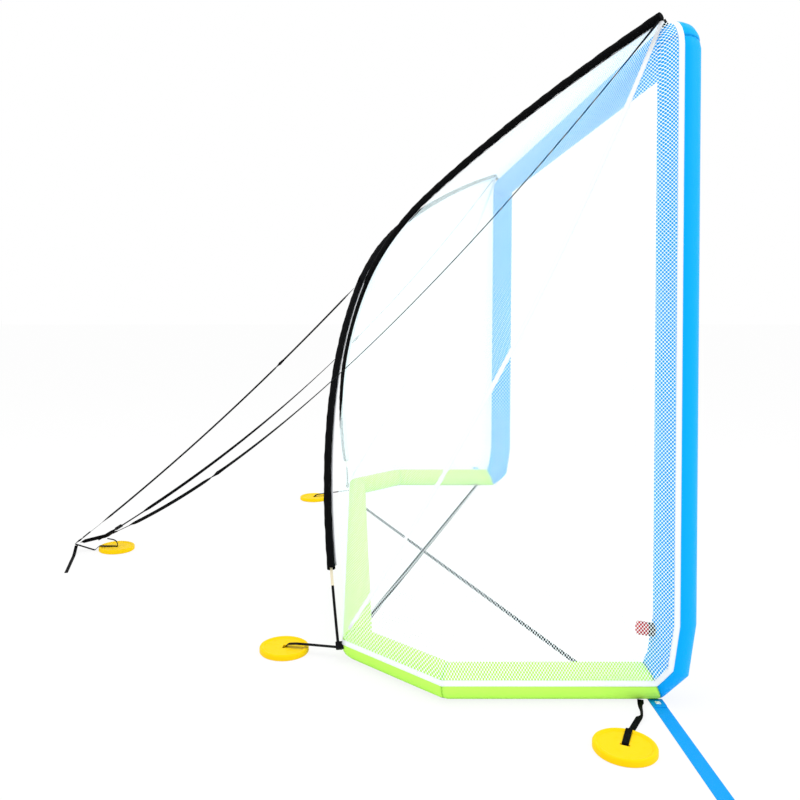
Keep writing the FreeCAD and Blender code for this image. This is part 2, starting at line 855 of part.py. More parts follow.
def laid_shape(points, width, thickness):
    """A strap along points given by its lower face, thickened upwards."""
    sides = []
    for index in range(len(points)):
        before = points[max(index - 1, 0)]
        after = points[min(index + 1, len(points) - 1)]
        way = after - before
        sides.append(UP.cross(Vector(way.x, way.y, 0)))
    return band(points, sides, width, thickness)


def laid_band(name, points, width, thickness):
    return keep_shape(name, laid_shape(points, width, thickness))


def off_tube(start, end, tube_out, width):
    """Where a slanting strap begins, so that its nearer corner too is clear of the tube."""
    way = unit(Vector(end.x - start.x, end.y - start.y, 0))
    return start + way * (width / 2 * abs(way.cross(tube_out).z) / way.dot(tube_out))


ledge = tube_ledge(webbing)
strap_front = Vector(-half_width + ledge, mm("floor_strap_front"), 0)
strap_rear = Vector(mm("floor_strap_rear_side"), base_back - ledge, 0)
strap_front = off_tube(strap_front, strap_rear, ALONG_BAR, mm("floor_strap_width"))
strap_rear = off_tube(strap_rear, strap_front, BACK * -1, mm("floor_strap_width"))
strap_way = unit(strap_rear - strap_front)
strap_cross = strap_front + strap_way * (-strap_front.x / strap_way.x)
laid_band("floor_strap_lower", [strap_front, strap_rear], mm("floor_strap_width"), webbing)
hump = [(-70, 0), (-35, webbing + mm("seat_gap")), (35, webbing + mm("seat_gap")), (70, 0)]
over_points = [strap_front] + [strap_cross + strap_way * along + UP * rise for along, rise in hump] + [strap_rear]
laid_band("floor_strap_upper", [mirrored(point) for point in over_points], mm("floor_strap_width"), webbing)

# Blue straps along the goal line, each doubled at the foot and closed with a square snap

line_start = Vector(-half_width - ledge, mm("line_strap_front"), 0)
line_end = Vector(-mm("line_strap_reach"), mm("line_strap_end_front"), 0)
line_way = unit(line_end - line_start)
flap_ledge = tube_ledge(2 * webbing + mm("seat_gap"))
flap_start = line_start + line_way * (flap_ledge - ledge + 1) + UP * (webbing + mm("seat_gap"))
flap_end = flap_start + line_way * mm("flap_length")
snap_spot = flap_start + line_way * (mm("flap_length") / 2) + UP * (webbing + mm("seat_gap"))
flaps = []
for side, turn in (("left", Vector), ("right", mirrored)):
    laid_band(f"line_strap_{side}", [turn(line_start), turn(line_end)], mm("line_strap_width"), webbing)
    flaps.append(laid_shape([turn(flap_start), turn(flap_end)], mm("line_strap_width"), webbing))
keep_shape("strap_flaps", Part.makeCompound(flaps))


def pairs_of(name, pieces):
    """The same small pieces on each side of the goal, as one group."""
    copies = []
    for first, place, turn in [(piece, place, turn) for piece, place in pieces for turn in (Vector, mirrored)]:
        copy = doc.addObject("Part::Feature", f"{first.Name}Copy")
        copy.Shape = first.Shape.copy()
        copy.Placement = Placement(turn(place), Rotation()).multiply(first.Placement)
        copies.append(copy)
    group = doc.addObject("Part::Compound", name)
    group.Links = copies
    doc.recompute()
    return keep(name, group)


square = doc.addObject("Part::Box", "SnapSquare")
bind(square, "Length", size("snap_square"))
bind(square, "Width", size("snap_square"))
bind(square, "Height", size("snap_thick"))
square.Placement = Placement(Vector(-mm("snap_square") / 2, -mm("snap_square") / 2, 0), Rotation())
stud = doc.addObject("Part::Cylinder", "SnapStud")
bind(stud, "Radius", size("snap_dia") / 2)
bind(stud, "Height", size("snap_thick"))
doc.recompute()
pairs_of("strap_snaps", [(square, snap_spot), (stud, snap_spot + UP * mm("snap_thick"))])

# Anchor discs, each with a dished top and a hole for its strap

disc_radius = size("disc_dia") / 2
disc_top = size("disc_height")


def anchor_disc(name, centre, heading):
    inner = disc_radius - size("disc_rim")
    outline = [
        (NOTHING, NOTHING),
        (disc_radius - 2, NOTHING),
        (disc_radius, size("disc_edge_round") / 2),
        (disc_radius, disc_top - size("disc_edge_round")),
        (disc_radius - size("disc_edge_round") / 3, disc_top - size("disc_edge_round") / 3),
        (disc_radius - size("disc_edge_round"), disc_top),
        (inner, disc_top),
        (inner - size("disc_slope"), disc_top - size("disc_dish")),
        (NOTHING, disc_top - size("disc_dish")),
    ]
    body = turned_body(name, outline)
    half_across = size("disc_hole_width") / 2
    half_along = size("disc_hole_length") / 2
    hole = rectangle(minus(half_across), half_across, minus(half_along), half_along)
    cut_through(body, lambda sketch: draw_outline(sketch, hole))
    return keep(name, body, Placement(centre, Rotation(UP, math.degrees(heading))))


def disc_with_strap(name, centre, start, tube_out=None):
    """A disc, and the strap that lies on the ground, climbs its rim and dips into its hole."""
    if tube_out:
        start = off_tube(start, centre, tube_out, mm("disc_strap_width"))
    way = Vector(centre.x - start.x, centre.y - start.y, 0)
    away = unit(way)
    anchor_disc(f"anchor_disc_{name}", centre, math.atan2(way.y, way.x))
    radius = disc_radius.number
    high = disc_top.number + mm("seat_gap")
    dish = high - mm("disc_dish")
    inner = radius - mm("disc_rim")
    half_hole = mm("disc_hole_width") / 2
    steps = [
        (radius + 18, 0), (radius - mm("disc_edge_round") / 2, high), (inner, high),
        (half_hole - 0.8, dish), (half_hole - 2.5, mm("disc_dish")),
    ]
    points = [start] + [centre - away * before + UP * rise for before, rise in steps]
    laid_band(f"disc_strap_{name}", points, mm("disc_strap_width"), webbing)


disc_with_strap("front_left", Vector(-1728, 256, 0), Vector(-half_width - ledge, 119, 0), ALONG_BAR * -1)
disc_with_strap("front_right", Vector(1690, 271, 0), Vector(half_width + ledge, 119, 0), ALONG_BAR)
disc_with_strap("rear_left", Vector(-1118, 1195, 0), Vector(-1165, base_back + ledge, 0), BACK)
disc_with_strap("rear_right", Vector(1048, 1211, 0), Vector(1150, base_back + ledge, 0), BACK)
disc_with_strap("anchor", anchor_centre, guy_end - UP * (webbing + mm("seat_gap")))

# Pole end sockets at the rear corners and pads under the sleeves at the top corners

def drawn_shape(name):
    """A sub-part where it was drawn, before the move to the part's own origin."""
    shape = [thing for thing in nodes if thing.Label == name][0].Shape.copy()
    shape.Placement = Placement()
    return shape


frame_fills = {"left": frame_fill, "right": frame_fill.mirror(Vector(), ALONG_BAR)}
for side, arc in pole_arc.items():
    foot, foot_way = arc.point(arc.length), arc.way(arc.length)
    depth, floor = mm("socket_depth"), mm("socket_floor")
    cup = Part.makeCylinder(mm("socket_dia") / 2, depth + floor, foot - foot_way * depth, foot_way)
    towards = Vector(math.copysign(rear_half, foot.x), base_back, base_axis_height) - foot
    block_way = unit(towards - foot_way * towards.dot(foot_way))
    block_size = mm("socket_block")
    block = Part.makeBox(block_size, base_radius, depth + floor, Vector(-block_size / 2, 0, 0))
    block.Placement = Placement(foot - foot_way * depth, Rotation(block_way.cross(foot_way), block_way, foot_way, "ZYX"))
    bore = arc_tube(arc, arc.length - depth - 1, arc.length, rod_radius + mm("rod_fit"))
    foot_side = "right" if foot.x > 0 else "left"
    socket = cup.fuse(block).cut(frame_fills[foot_side]).cut(bore)
    socket = socket.cut(drawn_shape("rear_tape")).cut(drawn_shape(f"frame_tape_{foot_side}"))
    keep_shape(f"pole_socket_{foot_side}", max(socket.Solids, key=lambda solid: solid.Volume))


pads = []
for side, arc in pole_arc.items():
    end = arc.point(0)
    frame_corner = Vector(math.copysign(half_width - mm("top_corner_cut"), end.x), 0, top_axis_height)
    reach = end - frame_corner
    pad = Part.makeCylinder(mm("corner_pad_dia") / 2, reach.Length, frame_corner, unit(reach))
    pad = pad.cut(frame_fills[side]).cut(arc_tube(arc, -20, 80, sleeve_radius + mm("seat_gap")))
    for name in ("roof_net", f"back_net_{side}", f"side_net_{side}", f"frame_tape_{side}", "crossbar_tape"):
        pad = pad.cut(drawn_shape(name))
    pads.extend(solid for solid in pad.Solids if solid.Volume > 50)
keep_shape("corner_pads", Part.makeCompound(pads))

# Guys: flat webbing from the top corners and the crossing to the anchor behind the goal

guy_width, guy_thick = mm("guy_width"), mm("guy_thick")
SIDE_GUY_RUNS = 16
CENTRE_GUY_RUNS = 8
ring_centre = Vector(0, mm("ring_back"), mm("ring_height"))
ring_reach = (mm("ring_dia") + mm("ring_wire")) / 2 + mm("seat_gap")


def sagging(top, bottom, sag, runs):
    """A strap's lower face from its top to its bottom end, hanging in a parabola."""
    points = []
    for run in range(runs + 1):
        share = run / runs
        points.append(between(top, bottom, share) - UP * (4 * sag * share * (1 - share)))
    return points


crossing_way = pole_arc["right"].way(pole_arc["right"].crossing_at)
tab_down = unit(Vector(0, crossing_way.y, crossing_way.z))
tab_out = Vector(0, -tab_down.z, tab_down.y)
tab_spot = crossing + tab_out * (2 * sleeve_radius + mm("sleeve_gap") + 3 * mm("seat_gap"))
tab_corners = [
    tab_spot - tab_down * (mm("tab_reach") / 2) + ALONG_BAR * (mm("tab_side") / 2),
    tab_spot + tab_down * mm("tab_reach"),
    tab_spot - tab_down * (mm("tab_reach") / 2) - ALONG_BAR * (mm("tab_side") / 2),
]
keep_shape("crossing_tab", thick_sheet([tab_corners], webbing))

tab_hold = tab_spot + tab_down * (mm("tab_reach") - guy_width) + tab_out * (webbing + mm("seat_gap"))
guy_routes = {"centre": sagging(tab_hold, guy_end, mm("centre_guy_sag"), CENTRE_GUY_RUNS)}
for side, arc in pole_arc.items():
    end = arc.point(0)
    leave = unit(ring_centre - UP * mm(f"{side}_guy_sag") * 4 - end)
    arrive = unit(ring_centre + UP * mm(f"{side}_guy_sag") * 4 - end)
    top = end + leave * mm("guy_start") + BACK * mm("guy_lift")
    bottom = ring_centre - unit(Vector(arrive.x, arrive.y, arrive.z)) * ring_reach
    guy_routes[side] = sagging(top, bottom, mm(f"{side}_guy_sag"), SIDE_GUY_RUNS)
for name, route in guy_routes.items():
    laid_band(f"{name}_guy", route, guy_width, guy_thick)

ring = doc.addObject("Part::Torus", "Ring")
bind(ring, "Radius1", size("ring_dia") / 2)
bind(ring, "Radius2", size("ring_wire") / 2)
keep("anchor_ring", ring, Placement(ring_centre, Rotation(Vector(1, 0, 0), -30)))

anchor_way = unit(anchor_centre - Vector(guy_end.x, guy_end.y, 0))
arch = [(-44, 53), (-12, 46), (1.9, 34), (2.3, mm("disc_dish"))]
arch_points = [anchor_centre + anchor_way * along + UP * rise for along, rise in arch]
laid_band("anchor_loop", arch_points, guy_width, guy_thick)
tail = [Vector(-8.5, guy_end.y - 8, guy_end.z - 6), Vector(-70, 2268, 0), Vector(-319, 2215, 0)]
laid_band("guy_tail", tail, guy_width, guy_thick)

# Sliders: three-bar buckles that take up the guys' length

slider_thick = size("slider_thick")


def slider(name, route):
    body = new_body(name)
    sketch = sketch_on(body, "XY_Plane")
    half_long, half_wide = size("slider_length") / 2, size("slider_width") / 2
    draw_outline(sketch, rectangle(minus(half_long), half_long, minus(half_wide), half_wide))
    pad = body.newObject("PartDesign::Pad", "Plate")
    pad.Profile = sketch
    pad.Midplane = True
    bind(pad, "Length", slider_thick)
    doc.recompute()
    solid_volume = body.Shape.Volume
    tunnel_wide = size("guy_width") / 2 + size("slider_fit")
    tunnel_high = size("guy_thick") / 2 + size("slider_fit")
    tunnel = sketch_on(body, "YZ_Plane")
    draw_outline(tunnel, rectangle(minus(tunnel_wide), tunnel_wide, minus(tunnel_high), tunnel_high))
    slot = body.newObject("PartDesign::Pocket", "Tunnel")
    slot.Profile = tunnel
    slot.Type = "ThroughAll"
    slot.Midplane = True
    doc.recompute()
    if body.Shape.Volume >= solid_volume:
        raise RuntimeError("the slider's tunnel was not cut")
    near_bar = size("slider_bar") / 2
    far_bar = half_long - size("slider_bar")
    cut_through(body, lambda window: draw_outline(window, rectangle(near_bar, far_bar, minus(tunnel_wide), tunnel_wide)))
    cut_through(body, lambda window: draw_outline(
        window, rectangle(minus(far_bar), minus(near_bar), minus(tunnel_wide), tunnel_wide)))
    up_way = unit(route[-2] - route[-1])
    across = unit(UP.cross(Vector(up_way.x, up_way.y, 0)))
    out = up_way.cross(across)
    spot = route[-1] + up_way * mm("slider_from_ring") + out * (guy_thick / 2)
    print("slider", name, "way", up_way, "at", to_origin + spot)
    return keep(name, body, Placement(spot, Rotation(up_way, across, out, "XYZ")))


for name, route in guy_routes.items():
    slider(f"{name}_guy_slider", route)

# Inflation valve on the back of the left post: a collar, a sprung poppet and a plug cap

flange_radius = size("valve_flange_dia") / 2
collar_radius = size("valve_collar_dia") / 2
bore_radius = size("valve_bore_dia") / 2
stem_radius = size("poppet_stem_dia") / 2
face = size("front_tube_dia") / 2
flange_low = face - size("valve_flange_depth")
flange_high = flange_low + size("valve_wall")
spider_low = face - size("valve_spider_depth") - size("valve_spider_thick")
spider_high = spider_low + size("valve_spider_thick")
collar_high = face + size("valve_collar_rise")
stem_hole = stem_radius + size("running_fit")

valve_body = turned_body("valve_body", [
    (stem_hole, spider_low), (bore_radius - size("valve_wall"), spider_low),
    (bore_radius - size("valve_wall"), flange_low), (flange_radius, flange_low), (flange_radius, flange_high),
    (collar_radius, flange_high), (collar_radius, collar_high), (bore_radius, collar_high),
    (bore_radius, spider_high), (stem_hole, spider_high),
])
whole = valve_body.Shape.Volume
holes = sketch_on(valve_body, "XY_Plane")
draw_circle(holes, size("valve_air_circle"), NOTHING, size("valve_air_hole_dia") / 2)
air = valve_body.newObject("PartDesign::Pocket", "AirHole")
air.Profile = holes
air.Type = "ThroughAll"
air.Midplane = True
ring_of_holes = valve_body.newObject("PartDesign::PolarPattern", "AirHoles")
ring_of_holes.Originals = [air]
ring_of_holes.Axis = (holes, ["N_Axis"])
ring_of_holes.Angle = 360
ring_of_holes.Occurrences = int(mm("valve_air_hole_count"))
valve_body.Tip = ring_of_holes
doc.recompute()
if valve_body.Shape.Volume >= whole:
    raise RuntimeError("the air holes were not cut")
keep("valve_body", valve_body, valve_place)

washer_high = spider_low - size("running_fit")
poppet_high = washer_high - size("washer_thick")
button_high = spider_high + size("poppet_rise")
button_low = button_high - size("poppet_button_thick")
poppet = turned_body("valve_poppet", [
    (NOTHING, poppet_high - size("poppet_thick")), (size("poppet_dia") / 2, poppet_high - size("poppet_thick")),
    (size("poppet_dia") / 2, poppet_high), (stem_radius, poppet_high), (stem_radius, button_low),
    (size("poppet_button_dia") / 2, button_low), (size("poppet_button_dia") / 2, button_high), (NOTHING, button_high),
])
keep("valve_poppet", poppet, valve_place)
washer = turned_body("valve_washer", [
    (stem_hole, poppet_high), (size("poppet_dia") / 2, poppet_high),
    (size("poppet_dia") / 2, washer_high), (stem_hole, washer_high),
])
keep("valve_washer", washer, valve_place)

wire = mm("spring_wire")
coil_height = button_low.number - spider_high.number - wire - 2 * mm("running_fit")
coil_radius = (mm("spring_dia") - wire) / 2
coil_start = Vector(0, 0, spider_high.number + wire / 2 + mm("running_fit"))
COIL_STEPS = 4


def coil_spot(quarter):
    """A point of the coil and its way there, after a number of quarter turns."""
    angle = quarter * math.pi / 2
    share = quarter / (COIL_STEPS * mm("spring_turns"))
    spot = coil_start + Vector(coil_radius * math.cos(angle), coil_radius * math.sin(angle), coil_height * share)
    climb = coil_height / (2 * math.pi * mm("spring_turns"))
    return spot, unit(Vector(-coil_radius * math.sin(angle), coil_radius * math.cos(angle), climb))


def two_arcs(first, first_way, last, last_way):
    """Two arcs that meet smoothly and join two points along their ways."""
    reach, both = last - first, first_way + last_way
    spread = 2 * (1 - first_way.dot(last_way))
    step = (math.sqrt(reach.dot(both) ** 2 + spread * reach.dot(reach)) - reach.dot(both)) / spread
    meeting = between(first + first_way * step, last - last_way * step, 0.5)
    return [
        Part.Arc(first, bend_middle(first, first_way, meeting), meeting).toShape(),
        Part.Arc(meeting, bend_middle(last, last_way * -1, meeting), last).toShape(),
    ]


coil = []
for quarter in range(int(COIL_STEPS * mm("spring_turns"))):
    coil.extend(two_arcs(*coil_spot(quarter), *coil_spot(quarter + 1)))
coil_first, coil_way = coil_spot(0)
section = Part.Wire(Part.makeCircle(wire / 2, coil_first, coil_way))
spring = doc.addObject("Part::Feature", "valve_spring")
spring.Shape = Part.Wire(coil).makePipeShell([section], True, False)
keep("valve_spring", spring, valve_place)

cap_radius = size("cap_dia") / 2
cap_low = collar_high + size("seat_gap")
cap_high = cap_low + size("cap_height")
plug_low = collar_high - size("cap_plug")
plug_radius = bore_radius - size("running_fit")
plug_inner = plug_radius - size("cap_wall")
cap = turned_body("valve_cap", [
    (plug_inner, plug_low), (plug_radius, plug_low), (plug_radius, cap_low), (cap_radius, cap_low),
    (cap_radius, cap_high - size("cap_round")), (cap_radius - size("cap_round") / 3, cap_high - size("cap_round") / 3),
    (cap_radius - size("cap_round"), cap_high), (NOTHING, cap_high), (NOTHING, cap_high - size("cap_top")),
    (plug_inner, cap_high - size("cap_top")),
])
whole = cap.Shape.Volume
groove_sketch = sketch_on(cap, "XY_Plane")
draw_circle(groove_sketch, cap_radius + size("cap_groove_dia") / 4, NOTHING, size("cap_groove_dia") / 2)
groove = cap.newObject("PartDesign::Pocket", "Groove")
groove.Profile = groove_sketch
groove.Type = "ThroughAll"
groove.Midplane = True
grooves = cap.newObject("PartDesign::PolarPattern", "Grooves")
grooves.Originals = [groove]
grooves.Axis = (groove_sketch, ["N_Axis"])
grooves.Angle = 360
grooves.Occurrences = int(mm("cap_grooves"))
cap.Tip = grooves
doc.recompute()
if cap.Shape.Volume >= whole:
    raise RuntimeError("the cap's grooves were not cut")
keep("valve_cap", cap, valve_place)
print("shift", to_origin.y)
print("valve way", valve_way, "root", to_origin + valve_root, "collar top", collar_high.number)


# Export
doc.recompute()
for thing in doc.Objects:
    if "Invalid" in thing.State or "Error" in thing.State:
        raise RuntimeError(f"{thing.Label} failed to build")
if len({thing.Label for thing in nodes}) != len(nodes):
    raise RuntimeError("two sub-parts share a name")
for thing in nodes:
    shape = thing.Shape
    if shape.isNull() or not shape.isValid() or not shape.Solids:
        raise RuntimeError(f"{thing.Label} is not a valid solid")
os.makedirs("parts", exist_ok=True)
for thing in nodes:
    shape = thing.Shape
    box = shape.BoundBox
    ends = [round(end, 1) for end in (box.XMin, box.XMax, box.YMin, box.YMax, box.ZMin, box.ZMax)]
    print(thing.Label, len(shape.Solids), round(shape.Volume), ends)
    shape.exportStep(f"parts/{thing.Label}.step")
print(len(nodes), "nodes")
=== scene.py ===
"""The looks of an inflatable goal with a pole-held net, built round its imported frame."""

import math

import bpy
import numpy as np
from bpy.props import FloatProperty, FloatVectorProperty, PointerProperty
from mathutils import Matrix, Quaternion, Vector


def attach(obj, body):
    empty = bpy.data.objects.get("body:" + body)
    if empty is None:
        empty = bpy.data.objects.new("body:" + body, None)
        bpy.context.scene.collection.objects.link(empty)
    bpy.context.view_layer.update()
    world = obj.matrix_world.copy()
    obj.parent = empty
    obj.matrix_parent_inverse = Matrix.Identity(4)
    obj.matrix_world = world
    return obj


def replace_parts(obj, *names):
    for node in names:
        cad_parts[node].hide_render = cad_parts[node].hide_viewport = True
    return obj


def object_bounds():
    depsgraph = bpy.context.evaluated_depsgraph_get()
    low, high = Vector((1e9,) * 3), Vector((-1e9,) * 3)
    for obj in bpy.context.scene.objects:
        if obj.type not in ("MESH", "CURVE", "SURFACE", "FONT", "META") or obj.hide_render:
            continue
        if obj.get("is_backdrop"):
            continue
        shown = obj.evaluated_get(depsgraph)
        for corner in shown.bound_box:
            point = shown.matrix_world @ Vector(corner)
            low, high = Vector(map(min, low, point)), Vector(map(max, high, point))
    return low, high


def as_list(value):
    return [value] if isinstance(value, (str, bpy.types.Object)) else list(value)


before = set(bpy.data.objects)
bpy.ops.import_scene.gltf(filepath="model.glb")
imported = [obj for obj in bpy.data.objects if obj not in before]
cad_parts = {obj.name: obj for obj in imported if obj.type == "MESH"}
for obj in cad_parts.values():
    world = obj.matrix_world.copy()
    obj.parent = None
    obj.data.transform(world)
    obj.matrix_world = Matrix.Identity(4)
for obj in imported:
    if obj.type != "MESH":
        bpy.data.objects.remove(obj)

bl_info = {
    "name": "Inflatable goal",
    "version": (1, 0, 0),
    "blender": (4, 5, 0),
    "location": "View3D > Sidebar > Goal",
    "description": "Dresses the inflatable goal's frame with fabric, mesh, webbing and plastic",
    "category": "Object",
}

BOX_AT_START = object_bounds()

# Places in the goal's own frame, in metres: X along the goal line, Y back from it, Z up

TO_ORIGIN = Vector((0, -1.11359, 0))
UP = Vector((0, 0, 1))
BACK = Vector((0, 1, 0))
ALONG_BAR = Vector((1, 0, 0))
HALF_WIDTH = 1.44
FRONT_RADIUS = 0.06
BASE_RADIUS = 0.05
TOP_AXIS = 1.94
BASE_BACK = 0.95
STRAIGHT_BACK = 0.687
REAR_HALF = 1.177
SEAT_GAP = 0.0003
POST_TOP = Vector((-HALF_WIDTH, 0, 1.904))
BAR_END = Vector((-1.404, 0, TOP_AXIS))
FOOT_BEND = Vector((-HALF_WIDTH, 0.014, 0.23))
ELBOW = Vector((-HALF_WIDTH, 0.034, 0.1))
FOOT_JOINT = Vector((-HALF_WIDTH, 0.082, BASE_RADIUS))
SIDE_END = Vector((-HALF_WIDTH, STRAIGHT_BACK, BASE_RADIUS))
CORNER_END = Vector((-REAR_HALF, BASE_BACK, BASE_RADIUS))
WEBBING = 0.0016
# How far from a base tube's axis the tube meets a strap that lies on the ground
LEDGE = 0.0137
RING_CENTRE = Vector((0, 2.16, 0.062))
RING_REACH = 0.019
ANCHOR_CENTRE = Vector((0.025, 2.097, 0))
DISC_TOP = 0.019
GUY_END = Vector((0, 2.286, 0.034))


def mirrored(point):
    return Vector((-point.x, point.y, point.z))


SIDES = (("left", Vector), ("right", mirrored))


def between(start, end, share):
    return start + (end - start) * share


def square_to(way, vector):
    """The part of a vector at right angles to a unit direction, made one unit long."""
    return (vector - way * vector.dot(way)).normalized()


def way_at(line, index):
    """A line's direction at one of its points, from the points beside it."""
    return (line[min(index + 1, len(line) - 1)] - line[max(index - 1, 0)]).normalized()


class Bend:
    """A circular arc through three points, measured by length from its first end."""

    def __init__(self, first, middle, last):
        near, far = middle - first, last - first
        normal = near.cross(far)
        reach = normal.cross(near) * far.length_squared + far.cross(normal) * near.length_squared
        self.centre = first + reach / (2 * normal.length_squared)
        self.begin = first - self.centre
        self.radius = self.begin.length
        self.axis = self.begin.cross(middle - self.centre).normalized()
        self.length = self.radius * self.begin.angle(last - self.centre)

    def turned(self, distance, vector):
        return Quaternion(self.axis, distance / self.radius) @ vector

    def point(self, distance):
        return self.centre + self.turned(distance, self.begin)

    def way(self, distance):
        return self.turned(distance, self.axis.cross(self.begin).normalized())

    def share(self, share):
        return self.point(self.length * share)

    def turned_back(self):
        return Bend(self.point(self.length), self.share(0.5), self.point(0))


def bend_to(first, way, last):
    """The arc that leaves the first point along way and ends at the last."""
    reach = last - first
    across = (way - reach * (way.dot(reach) / reach.dot(reach))).normalized()
    bulge = across * (reach.length / 2 * math.tan(way.angle(reach) / 2))
    return Bend(first, (first + last) / 2 + bulge, last)


def bend_away(first, way, inward, radius, length):
    """An arc of a given radius and length that leaves the first point along way and turns inward."""
    angles = [length / radius / 2, length / radius]
    middle, last = [
        first + way * (radius * math.sin(angle)) + inward * (radius * (1 - math.cos(angle)))
        for angle in angles]
    return Bend(first, middle, last)


class Chain:
    """Bends that run on from each other, measured by length from the first end."""

    def __init__(self, bends, crossing_at):
        self.bends = bends
        self.crossing_at = sum(bend.length for bend in bends[:crossing_at])
        self.length = sum(bend.length for bend in bends)

    def bend_at(self, distance):
        before = 0
        for bend in self.bends[:-1]:
            if distance <= before + bend.length:
                return bend, distance - before
            before += bend.length
        return self.bends[-1], distance - before

    def point(self, distance):
        bend, along = self.bend_at(distance)
        return bend.point(along)

    def way(self, distance):
        bend, along = self.bend_at(distance)
        return bend.way(along)


# A pole's tilt at its crossing, and the radius and length of its bends above and below it
CROSSING_TILT = math.radians(-2.7)
UPPER_BEND = (2.193, 0.694)
LOWER_BEND = (3.597, 1.454)


def pole_chain(top, crossing, foot):
    """A bent pole: nearly straight at both ends, bent most above the crossing."""
    chord = (foot - top).normalized()
    outward = chord.cross((crossing - top).cross(chord)).normalized()
    way = chord * math.cos(CROSSING_TILT) + outward * math.sin(CROSSING_TILT)
    inward = chord * math.sin(CROSSING_TILT) - outward * math.cos(CROSSING_TILT)
    above = bend_away(crossing, -way, inward, *UPPER_BEND)
    below = bend_away(crossing, way, inward, *LOWER_BEND)
    upper_last, lower_last = above.point(above.length), below.point(below.length)
    bends = [
        bend_to(upper_last, above.way(above.length), top).turned_back(), above.turned_back(),
        below, bend_to(lower_last, below.way(below.length), foot),
    ]
    return Chain(bends, 2)


# The poles, the tab where they cross and the net's measures

SLEEVE_RADIUS = 0.014
SLEEVE_GAP = 0.0006
POLE_TOP = Vector((-1.428, 0.05, 2.014))
POLE_FOOT = Vector((1.202, 1.011, 0.044))
CROSSING = Vector((0, 0.922, 1.268))
CHORD = (POLE_FOOT - POLE_TOP).normalized()
CROSSING_OUT = Vector((0, -CHORD.z, CHORD.y)).normalized()
STAGGER = CROSSING_OUT * (SLEEVE_RADIUS + SLEEVE_GAP)
POLES = {
    "left": pole_chain(POLE_TOP, CROSSING - STAGGER, POLE_FOOT),
    "right": pole_chain(mirrored(POLE_TOP), CROSSING + STAGGER, mirrored(POLE_FOOT)),
}
CROSSING_WAY = POLES["right"].way(POLES["right"].crossing_at)
TAB_DOWN = Vector((0, CROSSING_WAY.y, CROSSING_WAY.z)).normalized()
TAB_OUT = Vector((0, -TAB_DOWN.z, TAB_DOWN.y))
TAB_GAP = 0.0015
TAB_SPOT = CROSSING + TAB_OUT * (2 * SLEEVE_RADIUS + TAB_GAP)
TAB_ABOVE = 0.026
TAB_BELOW = 0.052
TAB_WIDTH = 0.046
# How far above the tab's tip the centre guy is sewn on
TAB_SEWN = 0.015
SLEEVE_OPEN_END = 0.265
NET_DROP = 0.0167
NET_EDGE = 0.008 + 2 * SEAT_GAP
SEAM_BOW = 0.062
HALF_ROWS = 24
NET_ROWS_ON_FRAME = [20, 4, 2, 14, 8]
# How far short of its edges a net panel stops, and how far off the tubes it keeps
EDGE_GAP = 0.0006
OFF_TUBES = 0.0014


# Meshes

def grid_faces(rows, columns, closed):
    """Quads between neighbouring rows of points. closed joins each row's last point to its first."""
    faces = []
    for row in range(rows - 1):
        here, after = row * columns, (row + 1) * columns
        for step in range(columns if closed else columns - 1):
            following = (step + 1) % columns
            faces.append((here + step, after + step, after + following, here + following))
    return faces


def piece(name, points, faces, slot, uvs, values=None, body="goal"):
    """A new mesh piece, drawn in the goal's frame, that rides on a body."""
    mesh = bpy.data.meshes.new(name)
    mesh.from_pydata([tuple(point + TO_ORIGIN) for point in points], [], faces)
    layer = mesh.uv_layers.new(name="UVMap")
    for polygon in mesh.polygons:
        for loop in polygon.loop_indices:
            layer.data[loop].uv = uvs(polygon.index, mesh.loops[loop].vertex_index)
    for word, numbers in (values or {}).items():
        attribute = mesh.attributes.new(word, "FLOAT", "POINT")
        attribute.data.foreach_set("value", np.array(numbers, np.float32))
    mesh.polygons.foreach_set("use_smooth", [True] * len(mesh.polygons))
    mesh.materials.append(material(slot))
    thing = bpy.data.objects.new(name, mesh)
    bpy.context.scene.collection.objects.link(thing)
    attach(thing, body)
    return thing


def flat_ended(thing):
    """The piece with its two end caps, which are its last faces, shaded flat."""
    for cap in (-1, -2):
        thing.data.polygons[cap].use_smooth = False
    return thing


def rings_piece(name, rings, alongs, around_width, slot, values=None):
    """A capped tube from rings of points. Its UV map holds metres round and metres along."""
    rows, count = len(rings), len(rings[0])
    points = [point for ring in rings for point in ring]
    faces = [(first, last, third, second) for first, second, third, last in grid_faces(rows, count, True)]
    side_faces = len(faces)
    faces.append(tuple(reversed(range(count))))
    faces.append(tuple(range((rows - 1) * count, rows * count)))

    def uv(face, vertex):
        row, step = divmod(vertex, count)
        if face < side_faces and face % count == count - 1 and step == 0:
            step = count
        return (step / count * around_width, alongs[row])

    return flat_ended(piece(name, points, faces, slot, uv, values))


def mitre(path, index, first_way, last_way):
    """The direction square to the plane where a path's two limbs meet."""
    before = first_way if index == 0 else (path[index] - path[index - 1]).normalized()
    after = last_way if index == len(path) - 1 else (path[index + 1] - path[index]).normalized()
    return (before + after).normalized()


def mitred_rings(path, radii, first_way, last_way, facing, count):
    """One ring of points at each corner of a path, lying in that corner's mitre plane."""
    rings = []
    for index, corner in enumerate(path):
        limb = max(index - 1, 0)
        way = (path[limb + 1] - path[limb]).normalized()
        if index > 1:
            before = (path[limb] - path[limb - 1]).normalized()
            facing = before.rotation_difference(way) @ facing
        facing = square_to(way, facing)
        across = way.cross(facing)
        plane = mitre(path, index, first_way, last_way)
        ring = []
        for step in range(count):
            angle = 2 * math.pi * step / count
            reach = (facing * math.cos(angle) + across * math.sin(angle)) * radii[index]
            ring.append(corner + reach - way * (reach.dot(plane) / way.dot(plane)))
        rings.append(ring)
    return rings


